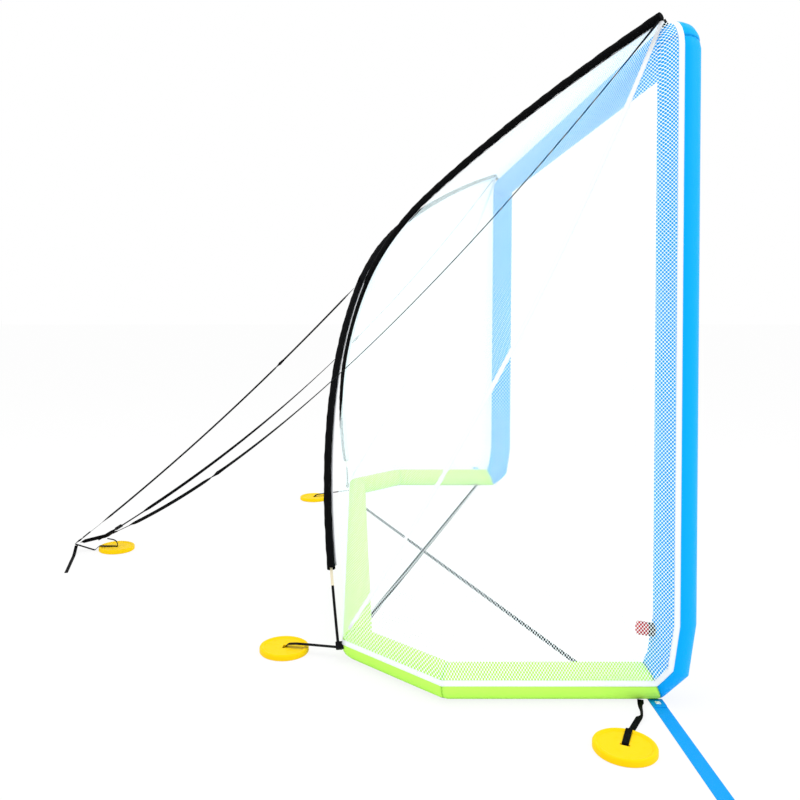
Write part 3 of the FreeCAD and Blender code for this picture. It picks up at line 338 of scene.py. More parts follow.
def tube_stations(length, fine=0.004, coarse=0.03, fine_reach=0.12):
    """Distances along a tube, close together near both ends."""
    stations = [0.0]
    while stations[-1] < length - 1e-6:
        here = stations[-1]
        edge = min(here, length - here)
        step = fine + (coarse - fine) * min(edge / fine_reach, 1)
        stations.append(min(here + step, length))
    if length - stations[-2] < fine / 2:
        stations.pop(-2)
    return stations


# How far from a tube's weld its groove, its darker line and its small folds reach
GROOVE_REACH = 0.006
LINE_REACH = 0.0035
FOLD_REACH = 0.05
FOLDS_AT_START = 23
FOLDS_AT_END = 19


def inflated_tube(name, path, radii, ways, facing, slot, sizes):
    """An air-filled fabric tube, drawn in at the weld at each end, with small folds beside the weld."""
    count = 72
    corners = mitred_rings(path, radii, ways[0], ways[1], facing, count)
    rings, alongs, weld_values = [], [], []
    travelled = 0.0
    last_limb = len(path) - 2
    for limb in range(len(path) - 1):
        start, end = path[limb], path[limb + 1]
        length = (end - start).length
        for station in tube_stations(length)[1 if limb else 0:]:
            share = station / length
            centre = between(start, end, share)
            ring = []
            for step in range(count):
                point = between(corners[limb][step], corners[limb + 1][step], share)
                out = (point - centre).normalized()
                pinch = 0.0
                mark = 0.0
                for welded_limb, corner, folds in ((0, 0, FOLDS_AT_START), (last_limb, -1, FOLDS_AT_END)):
                    if limb != welded_limb:
                        continue
                    distance = (point - corners[corner][step]).length
                    pinch += math.exp(-(distance / GROOVE_REACH) ** 2)
                    mark = max(mark, math.exp(-(distance / LINE_REACH) ** 2))
                    fold = 0.5 * sizes.wrinkle * pleat(step, count, folds)
                    pinch += fold * math.exp(-distance / FOLD_REACH)
                ring.append(point - out * (sizes.weld_depth * pinch))
                weld_values.append(mark)
            rings.append(ring)
            alongs.append(travelled + station)
        travelled += length
    around = 2 * math.pi * radii[-1]
    return rings_piece(name, rings, alongs, around, slot, {"weld": weld_values})


def pleat(step, count, folds):
    """From 0 to 1 and back, several times round a ring, unevenly."""
    angle = 2 * math.pi * step / count
    return 0.5 + 0.5 * math.sin(folds * angle + 1.7 * math.sin(3 * angle))


# Straps: flat bands that follow a line and may twist about it

def rounded_line(points, reach, step):
    """The line through the points with its corners rounded off, cut into short runs."""
    corners = [points[0]]
    for before, here, after in zip(points, points[1:], points[2:]):
        back = min(reach, 0.45 * (before - here).length)
        on = min(reach, 0.45 * (after - here).length)
        first = here + (before - here).normalized() * back
        last = here + (after - here).normalized() * on
        for number in range(7):
            share = number / 6
            corners.append(between(between(first, here, share), between(here, last, share), share))
    corners.append(points[-1])
    line = [corners[0]]
    for start, end in zip(corners, corners[1:]):
        length = (end - start).length
        if length < 1e-7:
            continue
        count = max(1, math.ceil(length / step))
        line.extend(between(start, end, number / count) for number in range(1, count + 1))
    return line


def lengths_along(line):
    """The distance along a line at each of its points."""
    total = [0.0]
    for start, end in zip(line, line[1:]):
        total.append(total[-1] + (end - start).length)
    return total


# A strap's section: shares of half its width across and of half its thickness out
UPPER_SECTION = [(-1, 0.25), (-0.94, 0.9), (-0.8, 1), (0, 1), (0.8, 1), (0.94, 0.9), (1, 0.25)]
STRAP_SECTION = UPPER_SECTION + [(-across, -out) for across, out in UPPER_SECTION]


def strap(name, line, width, slot, thickness=WEBBING, turn=None, sides=None, lift=0.5, narrow=None):
    """A flat strap on a line. turn gives its twist, and narrow its width, for a share of its length."""
    total = lengths_along(line)
    rings = []
    last_side = None
    for index, point in enumerate(line):
        way = way_at(line, index)
        if sides:
            across = sides[index]
        else:
            across = UP.cross(Vector((way.x, way.y, 0)))
            if across.length < 1e-5:
                across = last_side
        across = square_to(way, across)
        last_side = across
        out = way.cross(across)
        middle = point + out * (thickness * lift)
        share = total[index] / total[-1]
        if turn is not None:
            twist = Quaternion(way, turn(share))
            across, out = twist @ across, twist @ out
        scale = narrow(share) if narrow else 1
        rings.append([
            middle + across * (x * width / 2 * scale) + out * (y * thickness / 2)
            for x, y in STRAP_SECTION])
    rows, count = len(rings), len(STRAP_SECTION)
    faces = grid_faces(rows, count, True)
    faces.append(tuple(range(count)))
    faces.append(tuple(reversed(range((rows - 1) * count, rows * count))))

    def uv(face, vertex):
        row, step = divmod(vertex, count)
        return (STRAP_SECTION[step][0] * width / 2, total[row])

    return flat_ended(piece(name, [point for ring in rings for point in ring], faces, slot, uv))


# Net panels, one layer of mesh each, with a flat UV map in metres

def ruled_rows(first_edge, second_edge, columns):
    """Straight lines from one edge to the other, stopping a little short of both."""
    rows = []
    for start, end in zip(first_edge, second_edge):
        inset = min(EDGE_GAP / max((end - start).length, 1e-6), 0.3)
        shares = [inset + (1 - 2 * inset) * column / columns for column in range(columns + 1)]
        rows.append([between(start, end, share) for share in shares])
    return rows


def without_tip(edge, at_start, at_end):
    """Blunt the ends where two edges meet in a point."""
    points = list(edge)
    if at_start:
        points[0] = between(points[0], points[1], 0.24)
    if at_end:
        points[-1] = between(points[-1], points[-2], 0.24)
    return points


def net_panel(name, rows, plane):
    """A panel of mesh fabric whose pattern runs along the two directions of a plane."""
    points = [point for row in rows for point in row]
    first, second = plane

    def uv(face, vertex):
        return (points[vertex].dot(first), points[vertex].dot(second))

    return piece(name, points, grid_faces(len(rows), len(rows[0]), False), "net_mesh", uv)


def surface_area(thing):
    return sum(polygon.area for polygon in thing.data.polygons)


# Lines on the inflated frame: where the tapes and the net's edges run

TAPE_LEAN = math.radians(14.5)
CORNER_CENTRE = Vector((BAR_END.x, 0, POST_TOP.z))
CORNER_TURNS = [math.radians(turn) for turn in (0, 20, 37.5, 55, 72.5, 90)]
TOP_CORNER = [CORNER_CENTRE + (BAR_END - POST_TOP).x * Vector((-math.cos(turn), 0, math.sin(turn)))
              for turn in CORNER_TURNS]
FRAME_PATH = [Vector((0, 0, TOP_AXIS))] + TOP_CORNER[::-1]
POST_TOP_AT = len(FRAME_PATH) - 1
FRAME_PATH += [FOOT_BEND, ELBOW, FOOT_JOINT, SIDE_END, CORNER_END, Vector((0, BASE_BACK, BASE_RADIUS))]
FRAME_RADII = [FRONT_RADIUS] * (POST_TOP_AT + 3) + [BASE_RADIUS] * 4
TWIST_GAPS = [0] * (POST_TOP_AT + 2) + [0.0017] * 2 + [0] * 3


def tape_line(path, radii, outward, gap):
    """Points on the tubes' surface along a path, where the outward side keeps to its mitres."""
    points = []
    facing = outward
    for index, here in enumerate(path):
        way_in = (here - path[index - 1]).normalized() if index else (path[1] - here).normalized()
        way_out = (path[index + 1] - here).normalized() if index < len(path) - 1 else way_in
        facing = square_to(way_in, facing)
        bisector = way_in + way_out
        reach = facing * (radii[index] + gap)
        points.append(here + reach - way_in * (reach.dot(bisector) / way_in.dot(bisector)))
        facing = way_in.rotation_difference(way_out) @ facing
    return points


def tape_sides(path, points, inner_hint):
    """Vectors across the tape, along the tube's surface, on the net's side."""
    sides = []
    for index in range(len(points)):
        way = way_at(points, index)
        side = way.cross(square_to(way, points[index] - path[index]))
        sides.append(side if side.dot(inner_hint) > 0 else side * -1)
    return sides


FRAME_POINTS = tape_line(FRAME_PATH, [radius + gap for radius, gap in zip(FRAME_RADII, TWIST_GAPS)],
                         Vector((0, math.sin(TAPE_LEAN), math.cos(TAPE_LEAN))), SEAT_GAP)
FRAME_SIDES = tape_sides(FRAME_PATH, FRAME_POINTS, Vector((0, 1, 1)))

TOP_WAY = POLES["left"].way(0)
NET_TOP = POLE_TOP - square_to(TOP_WAY, UP) * NET_DROP
NET_FOOT = Vector((POLE_FOOT.x, 1.0, FRAME_POINTS[-2].z + NET_EDGE))
NET_CROSSING = CROSSING - STAGGER - CROSSING_OUT * NET_DROP
NET_ARC = pole_chain(NET_TOP, NET_CROSSING, NET_FOOT)
UPPER_LENGTH = NET_ARC.crossing_at
LOWER_LENGTH = NET_ARC.length - UPPER_LENGTH
UPPER_EDGE = [NET_ARC.point(UPPER_LENGTH * row / HALF_ROWS) for row in range(HALF_ROWS + 1)]
LOWER_EDGE = [mirrored(NET_ARC.point(UPPER_LENGTH + LOWER_LENGTH * row / HALF_ROWS))
              for row in range(HALF_ROWS + 1)]
SEAM_MIDDLE = between(NET_TOP, mirrored(NET_FOOT), 0.5) - BACK * SEAM_BOW
SEAM_ARC = Bend(NET_TOP, SEAM_MIDDLE, mirrored(NET_FOOT))
SEAM = [SEAM_ARC.share(row / (2 * HALF_ROWS)) for row in range(2 * HALF_ROWS + 1)]
POLE_EDGE = without_tip(UPPER_EDGE + LOWER_EDGE[1:], True, True)
SEAM_EDGE = without_tip(SEAM, True, True)
SEAM_TAPE_LIFT = 0.0011

# Where the guys and the disc straps run, and how they turn

GUY_SAG = {"left": 0.211, "right": 0.195, "centre": 0.046}
GUY_OFF_SLEEVE = Vector((-0.018, 0.0115, -0.022))
GATHERED = Vector((-0.009, 2.258, 0.042))
# The front disc straps' fold, and the rear ones' start off the tube and their arc over the disc
STRAP_FOLD = Vector((1.56, 0.153, 0.011))
STRAP_RISE = (0.0335, 0.03)
STRAP_ARC = [(0.08, 0.0275), (0.04, 0.027), (0.014, 0.024), (0.004, 0.014), (0.002, 0.004)]
# First tilt, last tilt, the shares where it turns over, and the shares where its slider runs
GUY_TWISTS = {
    "left": (-0.25, 1.1, [0.72], (0.905, 0.946)),
    "right": (0.35, -0.9, [0.45], (0.905, 0.946)),
    "centre": (0.5, 0.55, [0.28], (0.905, 0.97)),
}
RIGID_SLOTS = {
    "glass_fibre": ["pole_rods_left", "pole_rods_right"],
    "black_rod": ["pole_black_ends"],
    "steel": ["pole_ferrules", "valve_spring"],
    "elastic_cord": ["shock_cords"],
    "black_plastic": [
        "pole_socket_left", "pole_socket_right", "anchor_ring", "centre_guy_slider", "left_guy_slider",
        "right_guy_slider", "valve_body", "valve_poppet"],
    "white_plastic": ["strap_snaps"],
    "yellow_plastic": [
        f"anchor_disc_{spot}" for spot in ("front_left", "front_right", "rear_left", "rear_right", "anchor")],
    "red_plastic": ["valve_cap"],
    "rubber": ["valve_washer"],
}


def on_net_side(first, last):
    """Frame points from first up to last, moved to the edge where the net is sewn on."""
    places = zip(FRAME_POINTS[first:last], FRAME_SIDES[first:last])
    return [point + side * NET_EDGE for point, side in places]


def frame_edge():
    """The line on the post and base where the side panel leaves the tubes."""
    corners = on_net_side(POST_TOP_AT, -1)
    edge = []
    for start, end, count in zip(corners, corners[1:], NET_ROWS_ON_FRAME):
        edge.extend(between(start, end, number / count) for number in range(count))
    edge.append(between(corners[-1], corners[-2], 0.02))
    return edge


def finer_start(edge):
    """The edge with its first runs cut into short parts."""
    runs, parts = 2, 8
    points = [
        between(edge[run], edge[run + 1], number / parts) for run in range(runs) for number in range(parts)]
    return points + edge[runs:]


def clear_of(point, start, end, radius):
    """The point, moved straight out of a tube when it is inside it."""
    way = end - start
    share = min(max((point - start).dot(way) / way.dot(way), 0), 1)
    foot = start + way * share
    out = point - foot
    return point if out.length >= radius else foot + out.normalized() * radius


def wrapped_rows(tube_edge, free_edge, columns):
    """Lines that leave a tube's surface in short steps and then run straight to the free edge."""
    short_step, short_steps = 0.004, 22
    steps = [number * short_step for number in range(short_steps + 1)]
    rows = []
    for start, end in zip(tube_edge, free_edge):
        way = end - start
        scale = min(1, way.length / (3 * steps[-1]))
        short = [step * scale for step in steps]
        rest = way.length - EDGE_GAP - short[-1]
        distances = short + [short[-1] + rest * number / columns for number in range(1, columns + 1)]
        row = [start + way.normalized() * distance for distance in distances]
        for index in range(len(FRAME_PATH) - 1):
            radius = max(FRAME_RADII[index], FRAME_RADII[index + 1]) + OFF_TUBES
            row = [clear_of(point, FRAME_PATH[index], FRAME_PATH[index + 1], radius) for point in row]
        rows.append(row)
    return rows


# Shader maths: a socket that is added, taken away and multiplied like a number

class Wire:
    """One output of a node, used in Python expressions that add Math nodes."""

    def __init__(self, board, output):
        self.board = board
        self.output = output

    def math(self, operation, *others):
        return self.board.math(operation, self, *others)

    def __add__(self, other):
        return self.math("ADD", other)

    __radd__ = __add__

    def __sub__(self, other):
        return self.math("SUBTRACT", other)

    def __rsub__(self, other):
        return self.board.math("SUBTRACT", other, self)

    def __mul__(self, other):
        return self.math("MULTIPLY", other)

    __rmul__ = __mul__

    def wave(self, pitch):
        """A sine from -1 to 1 that repeats each pitch."""
        return (self * (2 * math.pi / pitch)).math("SINE")

    def size(self):
        return self.math("ABSOLUTE")

    def part(self):
        return self.math("FRACT")

    def above(self, edge, softness):
        """0 below the edge and 1 above it, with a soft step between."""
        return self.board.node("MapRange", {"interpolation_type": "SMOOTHSTEP"}, {
            "Value": self, "From Min": edge - softness, "From Max": edge + softness,
            "To Min": 0.0, "To Max": 1.0})


class Board:
    """The nodes of one material."""

    def __init__(self, name):
        self.material = bpy.data.materials.new(name)
        self.material.use_nodes = True
        self.tree = self.material.node_tree
        self.tree.nodes.clear()

    def place(self, kind, settings=None, sockets=None):
        """Add a node, set its settings first, and then its sockets' values and links."""
        node = self.tree.nodes.new("ShaderNode" + kind)
        for word, setting in (settings or {}).items():
            setattr(node, word, setting)
        for word, value in (sockets or {}).items():
            socket = node.inputs[word]
            if isinstance(value, Wire):
                self.tree.links.new(value.output, socket)
            else:
                socket.default_value = value
        return node

    def node(self, kind, settings=None, sockets=None, output=0):
        return Wire(self, self.place(kind, settings, sockets).outputs[output])

    def math(self, operation, *values):
        return self.node("Math", {"operation": operation}, dict(enumerate(values)))

    def mix(self, factor, first, second):
        """A colour between two colours."""
        node = self.place("Mix", {"data_type": "RGBA"}, {0: factor, 6: first, 7: second})
        return Wire(self, node.outputs[2])

    def flat_map(self):
        """The piece's UV map as metres across and metres along."""
        uv = self.node("UVMap", {"uv_map": "UVMap"})
        apart = self.place("SeparateXYZ", None, {0: uv})
        return Wire(self, apart.outputs[0]), Wire(self, apart.outputs[1])

    def spot(self):
        """The place on the object, in metres."""
        return self.node("TexCoord", None, None, "Object")

    def noise(self, scale, detail=2.0, roughness=0.5):
        return self.node("TexNoise", None, {
            "Vector": self.spot(), "Scale": scale, "Detail": detail, "Roughness": roughness})

    def finish(self, colour, roughness, height, depth, strength, **constants):
        """The surface shader, its bump and the material's output."""
        bump = self.node("Bump", None, {"Height": height, "Distance": depth, "Strength": strength})
        sockets = {"Base Color": colour, "Roughness": roughness, "Normal": bump}
        sockets.update({word.replace("_", " "): value for word, value in constants.items()})
        surface = self.node("BsdfPrincipled", None, sockets)
        self.place("OutputMaterial", None, {"Surface": surface})
        return self.material


def colour(value, share=1.0):
    """A shader colour from a property, darkened by a share."""
    return (value[0] * share, value[1] * share, value[2] * share, 1.0)


WEAVE_PITCH = 0.0011
HOLE_WIDTH_TO_HEIGHT = 0.78


def coated_fabric(name, base, deep):
    """Smooth coated cloth, stretched tight by the air inside, with darker weld lines."""
    board = Board(name)
    across, along = board.flat_map()
    weld = board.node("Attribute", {"attribute_name": "weld"}, None, "Fac")
    mottle = board.noise(9.0, 3.0)
    weave = across.wave(WEAVE_PITCH) * along.wave(WEAVE_PITCH)
    pucker = board.noise(45.0, 2.0)
    ripple = board.noise(14.0, 1.0)
    height = weave * 0.05 + pucker * 0.5 + ripple * 1.2 - weld * 1.5
    tint = board.mix(mottle * 0.12, colour(base), colour(deep))
    tint = board.mix(weld * 0.6, tint, colour(deep, 0.8))
    roughness = board.noise(30.0) * 0.12 + 0.36
    return board.finish(tint, roughness, height, 0.0012, 0.5, Specular_IOR_Level=0.07)


def woven_band(name, base, pitch, roughness_at, edge_shade=0.75, specular=0.04):
    """Webbing: ribs across the strap, two lengthwise rows and firm edges."""
    board = Board(name)
    across, along = board.flat_map()
    lean = across.size() * 0.6
    ribs = (along + lean).wave(pitch)
    rows = across.wave(pitch * 1.6)
    height = ribs * 0.6 + rows * 0.4
    fuzz = board.noise(900.0, 2.0)
    shade = ribs * 0.22 + rows * 0.1 + fuzz * 0.2 + 0.35
    tint = board.mix(shade, colour(base, edge_shade * 0.6), colour(base, 1.15))
    return board.finish(tint, fuzz * 0.15 + roughness_at, height, 0.0004, 0.8, Specular_IOR_Level=specular)


def sewn_tape(name, base, half_width):
    """A white binding tape: fine twill with a row of stitches near each edge, and painted shade in the
    grooves beside the rows.
    """
    board = Board(name)
    across, along = board.flat_map()
    twill = (across + along).wave(0.0012)
    off_row = (across.size() - (half_width - 0.0022)).size()
    row = 1 - off_row.above(0.0004, 0.0002)
    dash = (along * (1 / 0.0032)).part().above(0.32, 0.06)
    stitch = row * dash
    groove_with_painted_shade = 1 - off_row.above(0.001, 0.0006)
    height = twill * 0.12 - groove_with_painted_shade * 0.5 + stitch * 0.9
    # Painted shade: the tape is painted darker in the grooves beside the stitch rows, where the bump also
    # presses it in.
    tint = board.mix(groove_with_painted_shade * 0.12 + board.noise(60.0) * 0.06, colour(base), colour(base, 0.72))
    return board.finish(tint, 0.7, height, 0.0004, 0.8, Specular_IOR_Level=0.2)


def mesh_fabric(name, base, pitch, opening):
    """Fine knitted mesh: rounded diamond holes between white threads, which glow faintly cyan as painted
    light.
    """
    board = Board(name)
    across, along = board.flat_map()
    turn = math.pi / pitch
    rise = along * HOLE_WIDTH_TO_HEIGHT
    one = ((across + rise) * turn).math("COSINE").size()
    two = ((across - rise) * turn).math("COSINE").size()
    cover = 1 - (one * two).above(opening, 0.05)
    thread = (one * two) * -1.0 + 1.0
    tint = board.mix(thread * 0.3, colour(base), colour(base, 0.85))
    # Painted light: a faint cyan glow on the threads stands in for light scattered through them, and it
    # brightens the blue tube seen behind the net.
    return board.finish(tint, 0.75, thread, 0.0004, 0.6, Alpha=cover, Specular_IOR_Level=0.1,
                        Emission_Color=(0.3, 1.0, 1.0, 1.0), Emission_Strength=0.2)


def black_weave(name, base):
    """Black sleeve cloth: plain weave with soft creases across the pole."""
    board = Board(name)
    across, along = board.flat_map()
    weave = across.wave(WEAVE_PITCH) * along.wave(WEAVE_PITCH)
    crease = board.noise(70.0, 2.0)
    dust = board.noise(12.0, 4.0)
    tint = board.mix(weave * 0.2 + dust * 0.5, colour(base, 0.7), colour(base, 1.6))
    height = weave * 0.3 + crease * 0.8
    return board.finish(tint, dust * 0.2 + 0.6, height, 0.0008, 0.7, Specular_IOR_Level=0.04)


def moulded(name, base, roughness_at, specular=0.4):
    """Moulded plastic with a fine grain, faint flow marks and rubbed patches."""
    board = Board(name)
    fine = board.noise(900.0, 2.0)
    flow = board.noise(14.0, 3.0)
    rubbed = board.noise(55.0, 4.0).above(0.62, 0.08)
    tint = board.mix(flow * 0.12 + rubbed * 0.06, colour(base), colour(base, 0.75))
    roughness = fine * 0.1 + rubbed * 0.12 + roughness_at
    return board.finish(tint, roughness, fine * 0.4 + flow * 0.6, 0.0003, 0.5, Specular_IOR_Level=specular)


def drawn_fibre(name, base, dark, roughness_at, coat=0.25, specular=0.5):
    """A pultruded rod: long pale fibres under clear resin."""
    board = Board(name)
    strands = board.noise(700.0, 3.0, 0.6)
    cloud = board.noise(25.0, 2.0)
    tint = board.mix(strands * 0.35 + cloud * 0.15, colour(base), colour(dark))
    return board.finish(tint, strands * 0.1 + roughness_at, strands, 0.0002, 0.5,
                        Coat_Weight=coat, Coat_Roughness=0.2, Specular_IOR_Level=specular)


def plain_steel(name, base):
    """Bright zinc-plated steel with fine marks."""
    board = Board(name)
    marks = board.noise(400.0, 3.0)
    cloud = board.noise(60.0, 2.0)
    tint = board.mix(cloud * 0.4, colour(base), colour(base, 0.7))
    return board.finish(tint, marks * 0.15 + 0.25, marks, 0.0002, 0.4, Metallic=1.0)


def braided(name, base, fleck):
    """Elastic cord in a braided cover with a fleck thread."""
    board = Board(name)
    across, along = board.flat_map()
    one = (across * 3 + along).wave(0.004)
    two = (across * -3 + along).wave(0.004)
    plait = one.math("MAXIMUM", two)
    spots = (one * two).above(0.6, 0.1)
    tint = board.mix(spots, colour(base), colour(fleck))
    return board.finish(tint, 0.7, plait, 0.0004, 0.8)


# What a user may change

def measure(label, note, value, low, high):
    """A length that a user may change."""
    return FloatProperty(
        name=label, description=note, default=value, min=low, max=high, unit="LENGTH", precision=4)


class GoalSizes(bpy.types.PropertyGroup):
    """Sizes of the fabric and webbing details."""

    net_pitch: measure("Net pitch", "Distance between holes in a row of the mesh", 0.0088, 0.002, 0.05)
    net_opening: FloatProperty(
        name="Net thread share", description="How much of each hole the threads take up",
        default=0.22, min=0.05, max=0.9, subtype="FACTOR")
    tape_width: measure("Tape width", "Width of the white seam tapes", 0.016, 0.005, 0.05)
    tape_thickness: measure("Tape thickness", "Thickness of the white seam tapes", 0.0008, 0.0002, 0.003)
    weld_depth: measure("Weld depth", "How far a tube draws in at its welds", 0.0022, 0.0, 0.01)
    wrinkle: FloatProperty(
        name="Wrinkle", description="Depth of the small folds beside a weld, as a share",
        default=1.0, min=0.0, max=3.0)
    sleeve_crease: measure("Sleeve crease", "Depth of the creases in the pole sleeves", 0.0011, 0.0, 0.005)
    guy_width: measure("Guy width", "Width of the guys' webbing", 0.015, 0.005, 0.05)
    floor_strap_width: measure("Floor strap width", "Width of the crossed floor straps", 0.02, 0.01, 0.05)
    line_strap_width: measure("Line strap width", "Width of the blue straps", 0.042, 0.02, 0.08)
    disc_strap_width: measure("Disc strap width", "Width of the anchor discs' straps", 0.018, 0.01, 0.05)


class GoalColours(bpy.types.PropertyGroup):
    """Colours of the goal's materials."""

    def swatch(label, value):
        return FloatVectorProperty(
            name=label, description=f"Colour of the {label.lower()}", subtype="COLOR", size=3, min=0, max=1,
            default=value)

    blue: swatch("Blue fabric", (0.0, 0.4, 0.95))
    blue_deep: swatch("Blue fabric in its welds", (0.0, 0.3, 0.75))
    green: swatch("Green fabric", (0.55, 1.0, 0.13))
    green_deep: swatch("Green fabric in its welds", (0.32, 0.78, 0.04))
    white: swatch("White tape", (0.9, 0.93, 0.96))
    net: swatch("Net threads", (0.97, 0.98, 1.0))
    black: swatch("Black cloth", (0.0025, 0.0025, 0.003))
    webbing: swatch("Black webbing", (0.003, 0.003, 0.0036))
    strap_blue: swatch("Blue webbing", (0.0, 0.36, 0.9))
    yellow: swatch("Yellow plastic", (0.95, 0.63, 0.0))
    red: swatch("Red plastic", (0.6, 0.02, 0.03))
    black_plastic: swatch("Black plastic", (0.003, 0.003, 0.0036))
    rubber: swatch("Rubber", (0.02, 0.02, 0.02))
    rod: swatch("Glass fibre rod", (0.8, 0.72, 0.52))
    rod_dark: swatch("Glass fibre strands", (0.55, 0.45, 0.28))
    steel: swatch("Steel", (0.7, 0.7, 0.72))


MADE = {}


def material(slot):
    """The material of a slot, made when it is first asked for."""
    if slot in MADE:
        return MADE[slot]
    sizes, hues = bpy.context.scene.goal_sizes, bpy.context.scene.goal_colours
    recipes = {
        "blue_fabric": (coated_fabric, hues.blue, hues.blue_deep),
        "green_fabric": (coated_fabric, hues.green, hues.green_deep),
        "white_tape": (sewn_tape, hues.white, sizes.tape_width / 2),
        "net_mesh": (mesh_fabric, hues.net, sizes.net_pitch, sizes.net_opening),
        "black_cloth": (black_weave, hues.black),
        "black_webbing": (woven_band, hues.webbing, 0.0018, 0.55),
        "blue_webbing": (woven_band, hues.strap_blue, 0.002, 0.5, 1.3, 0.12),
        "glass_fibre": (drawn_fibre, hues.rod, hues.rod_dark, 0.35),
        "black_rod": (drawn_fibre, hues.black_plastic, hues.black, 0.35, 0.02, 0.06),
        "steel": (plain_steel, hues.steel),
        "elastic_cord": (braided, hues.black, hues.white),
        "white_plastic": (moulded, hues.white, 0.4),
        "yellow_plastic": (moulded, hues.yellow, 0.42, 0.08),
        "red_plastic": (moulded, hues.red, 0.4, 0.15),
        "black_plastic": (moulded, hues.black_plastic, 0.45, 0.08),
        "rubber": (moulded, hues.rubber, 0.7, 0.2),
    }
    recipe, *given = recipes[slot]
    MADE[slot] = recipe(slot, *given)
    return MADE[slot]


# Operators: one for each group of pieces

class GOAL_OT_tubes(bpy.types.Operator):
    """Build the blue front tubes and the green base tubes"""

    bl_idname = "goal.tubes"
    bl_label = "Inflated tubes"

    def execute(self, context):
        sizes = context.scene.goal_sizes
        post_path = [FOOT_JOINT, ELBOW, FOOT_BEND] + TOP_CORNER[:2]
        post_radii = [BASE_RADIUS] + [FRONT_RADIUS] * 4
        base_radii = [BASE_RADIUS] * 2
        bar_path = TOP_CORNER[1:] + [mirrored(point) for point in reversed(TOP_CORNER[1:])]
        weld_way = (TOP_CORNER[2] - TOP_CORNER[1]).normalized()
        bar_way = (TOP_CORNER[1] - TOP_CORNER[0]).normalized()
        foot_way = (FOOT_JOINT - ELBOW).normalized()
        corner_way = (CORNER_END - SIDE_END).normalized()
        pairs = {
            "post_tube": (post_path, post_radii, (-BACK, weld_way), "blue_fabric"),
            "base_side_tube": ([FOOT_JOINT, SIDE_END], base_radii, (foot_way, corner_way), "green_fabric"),
            "base_corner_tube": ([SIDE_END, CORNER_END], base_radii, (BACK, ALONG_BAR), "green_fabric"),
        }
        for word, (path, radii, ways, slot) in pairs.items():
            for side, turn in SIDES:
                tube = inflated_tube(
                    f"{word}_{side}_skin", [turn(point) for point in path], radii,
                    [turn(way) for way in ways], turn(-ALONG_BAR), slot, sizes)
                if side == "right":
                    tube.data.flip_normals()
                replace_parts(tube, f"{word}_{side}")
        middles = {
            "crossbar": (bar_path, FRONT_RADIUS, bar_way, -ALONG_BAR, "blue_fabric"),
            "base_rear": ([CORNER_END, mirrored(CORNER_END)], BASE_RADIUS, corner_way, UP, "green_fabric"),
        }
        for word, (path, radius, way, facing, slot) in middles.items():
            tube = inflated_tube(
                f"{word}_skin", path, [radius] * len(path), (way, -mirrored(way)), facing, slot, sizes)
            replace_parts(tube, f"{word}_tube")
        return {"FINISHED"}


class GOAL_OT_tapes(bpy.types.Operator):
    """Build the white tapes along the frame's tubes"""

    bl_idname = "goal.tapes"
    bl_label = "White tapes"

    def execute(self, context):
        sizes = context.scene.goal_sizes
        points, sides = FRAME_POINTS[1:-1], FRAME_SIDES[1:-1]
        groups = {
            "frame_tape_left": (points, sides),
            "frame_tape_right": ([mirrored(point) for point in points], [mirrored(side) for side in sides]),
            "crossbar_tape": ([points[0], mirrored(points[0])], [FRAME_SIDES[0]] * 2),
            "rear_tape": ([points[-1], mirrored(points[-1])], [FRAME_SIDES[-1]] * 2),
        }
        for name, (points, sides) in groups.items():
            tape = self.tape(name, points, sides, sizes)
            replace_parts(tape, name)
        return {"FINISHED"}

    def tape(self, name, points, sides, sizes):
        """A tape through its corner points, whose sides turn evenly from corner to corner."""
        longest_run = 0.02
        line, across = [], []
        for index in range(len(points) - 1):
            start, end = points[index], points[index + 1]
            count = max(2, math.ceil((end - start).length / longest_run))
            for number in range(1 if index else 0, count + 1):
                share = number / count
                line.append(between(start, end, share))
                across.append(between(sides[index], sides[index + 1], share))
        return strap(f"{name}_ribbon", line, sizes.tape_width, "white_tape", sizes.tape_thickness,
                     sides=across)


class GOAL_OT_nets(bpy.types.Operator):
    """Build the net's six panels of fine mesh"""

    bl_idname = "goal.nets"
    bl_label = "Net panels"

    def execute(self, context):
        slope = Vector((0, CHORD.y, CHORD.z)).normalized()
        leaning = Vector((0.6, 0.6, 0)).normalized()
        roof_front = FRAME_POINTS[1] + FRAME_SIDES[0] * NET_EDGE
        roof_left = [roof_front] + without_tip(UPPER_EDGE, False, True)
        rear_left = without_tip(LOWER_EDGE, True, False)
        corner_edge = on_net_side(1, POST_TOP_AT)
        count = len(corner_edge)
        corner_tops = [between(SEAM[0], SEAM_EDGE[0], number / count) for number in range(count)]
        back = ruled_rows(SEAM_EDGE, POLE_EDGE, 10)
        tube_edge = corner_edge + finer_start(frame_edge())
        side = wrapped_rows(tube_edge, corner_tops + finer_start(SEAM_EDGE), 16)
        panels = {}
        for word, edge, second in (("roof", roof_left, slope), ("rear", rear_left, UP)):
            rows = ruled_rows(edge, [mirrored(point) for point in edge], 20)
            panels[word] = net_panel(f"{word}_net_mesh", rows, (ALONG_BAR, second))
            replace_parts(panels[word], f"{word}_net")
        for word, turn in SIDES:
            for part, rows, plane in (("back", back, (turn(leaning), slope)), ("side", side, (BACK, UP))):
                rows = [[turn(point) for point in row] for row in rows]
                panel = net_panel(f"{part}_net_{word}_mesh", rows, plane)
                panels[f"{part}_{word}"] = panel
                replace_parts(panel, f"{part}_net_{word}")
        sleeves = ["pole_sleeve_left", "pole_sleeve_right"]
        cuts = {
            "roof": (2.86, 1.15, ["crossbar_tape", *sleeves]),
            "rear": (2.42, 1.25, ["rear_tape", *sleeves]),
            "back_left": (1.35, 2.2, sleeves),
            "back_right": (1.35, 2.2, sleeves),
            "side_left": (1.0, 2.0, ["frame_tape_left"]),
            "side_right": (1.0, 2.0, ["frame_tape_right"]),
        }
        for word, (width, length, holders) in cuts.items():
            area = surface_area(panels[word])
            print("net", word, round(area, 3), "of", round(width * length, 3))
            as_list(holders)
        return {"FINISHED"}


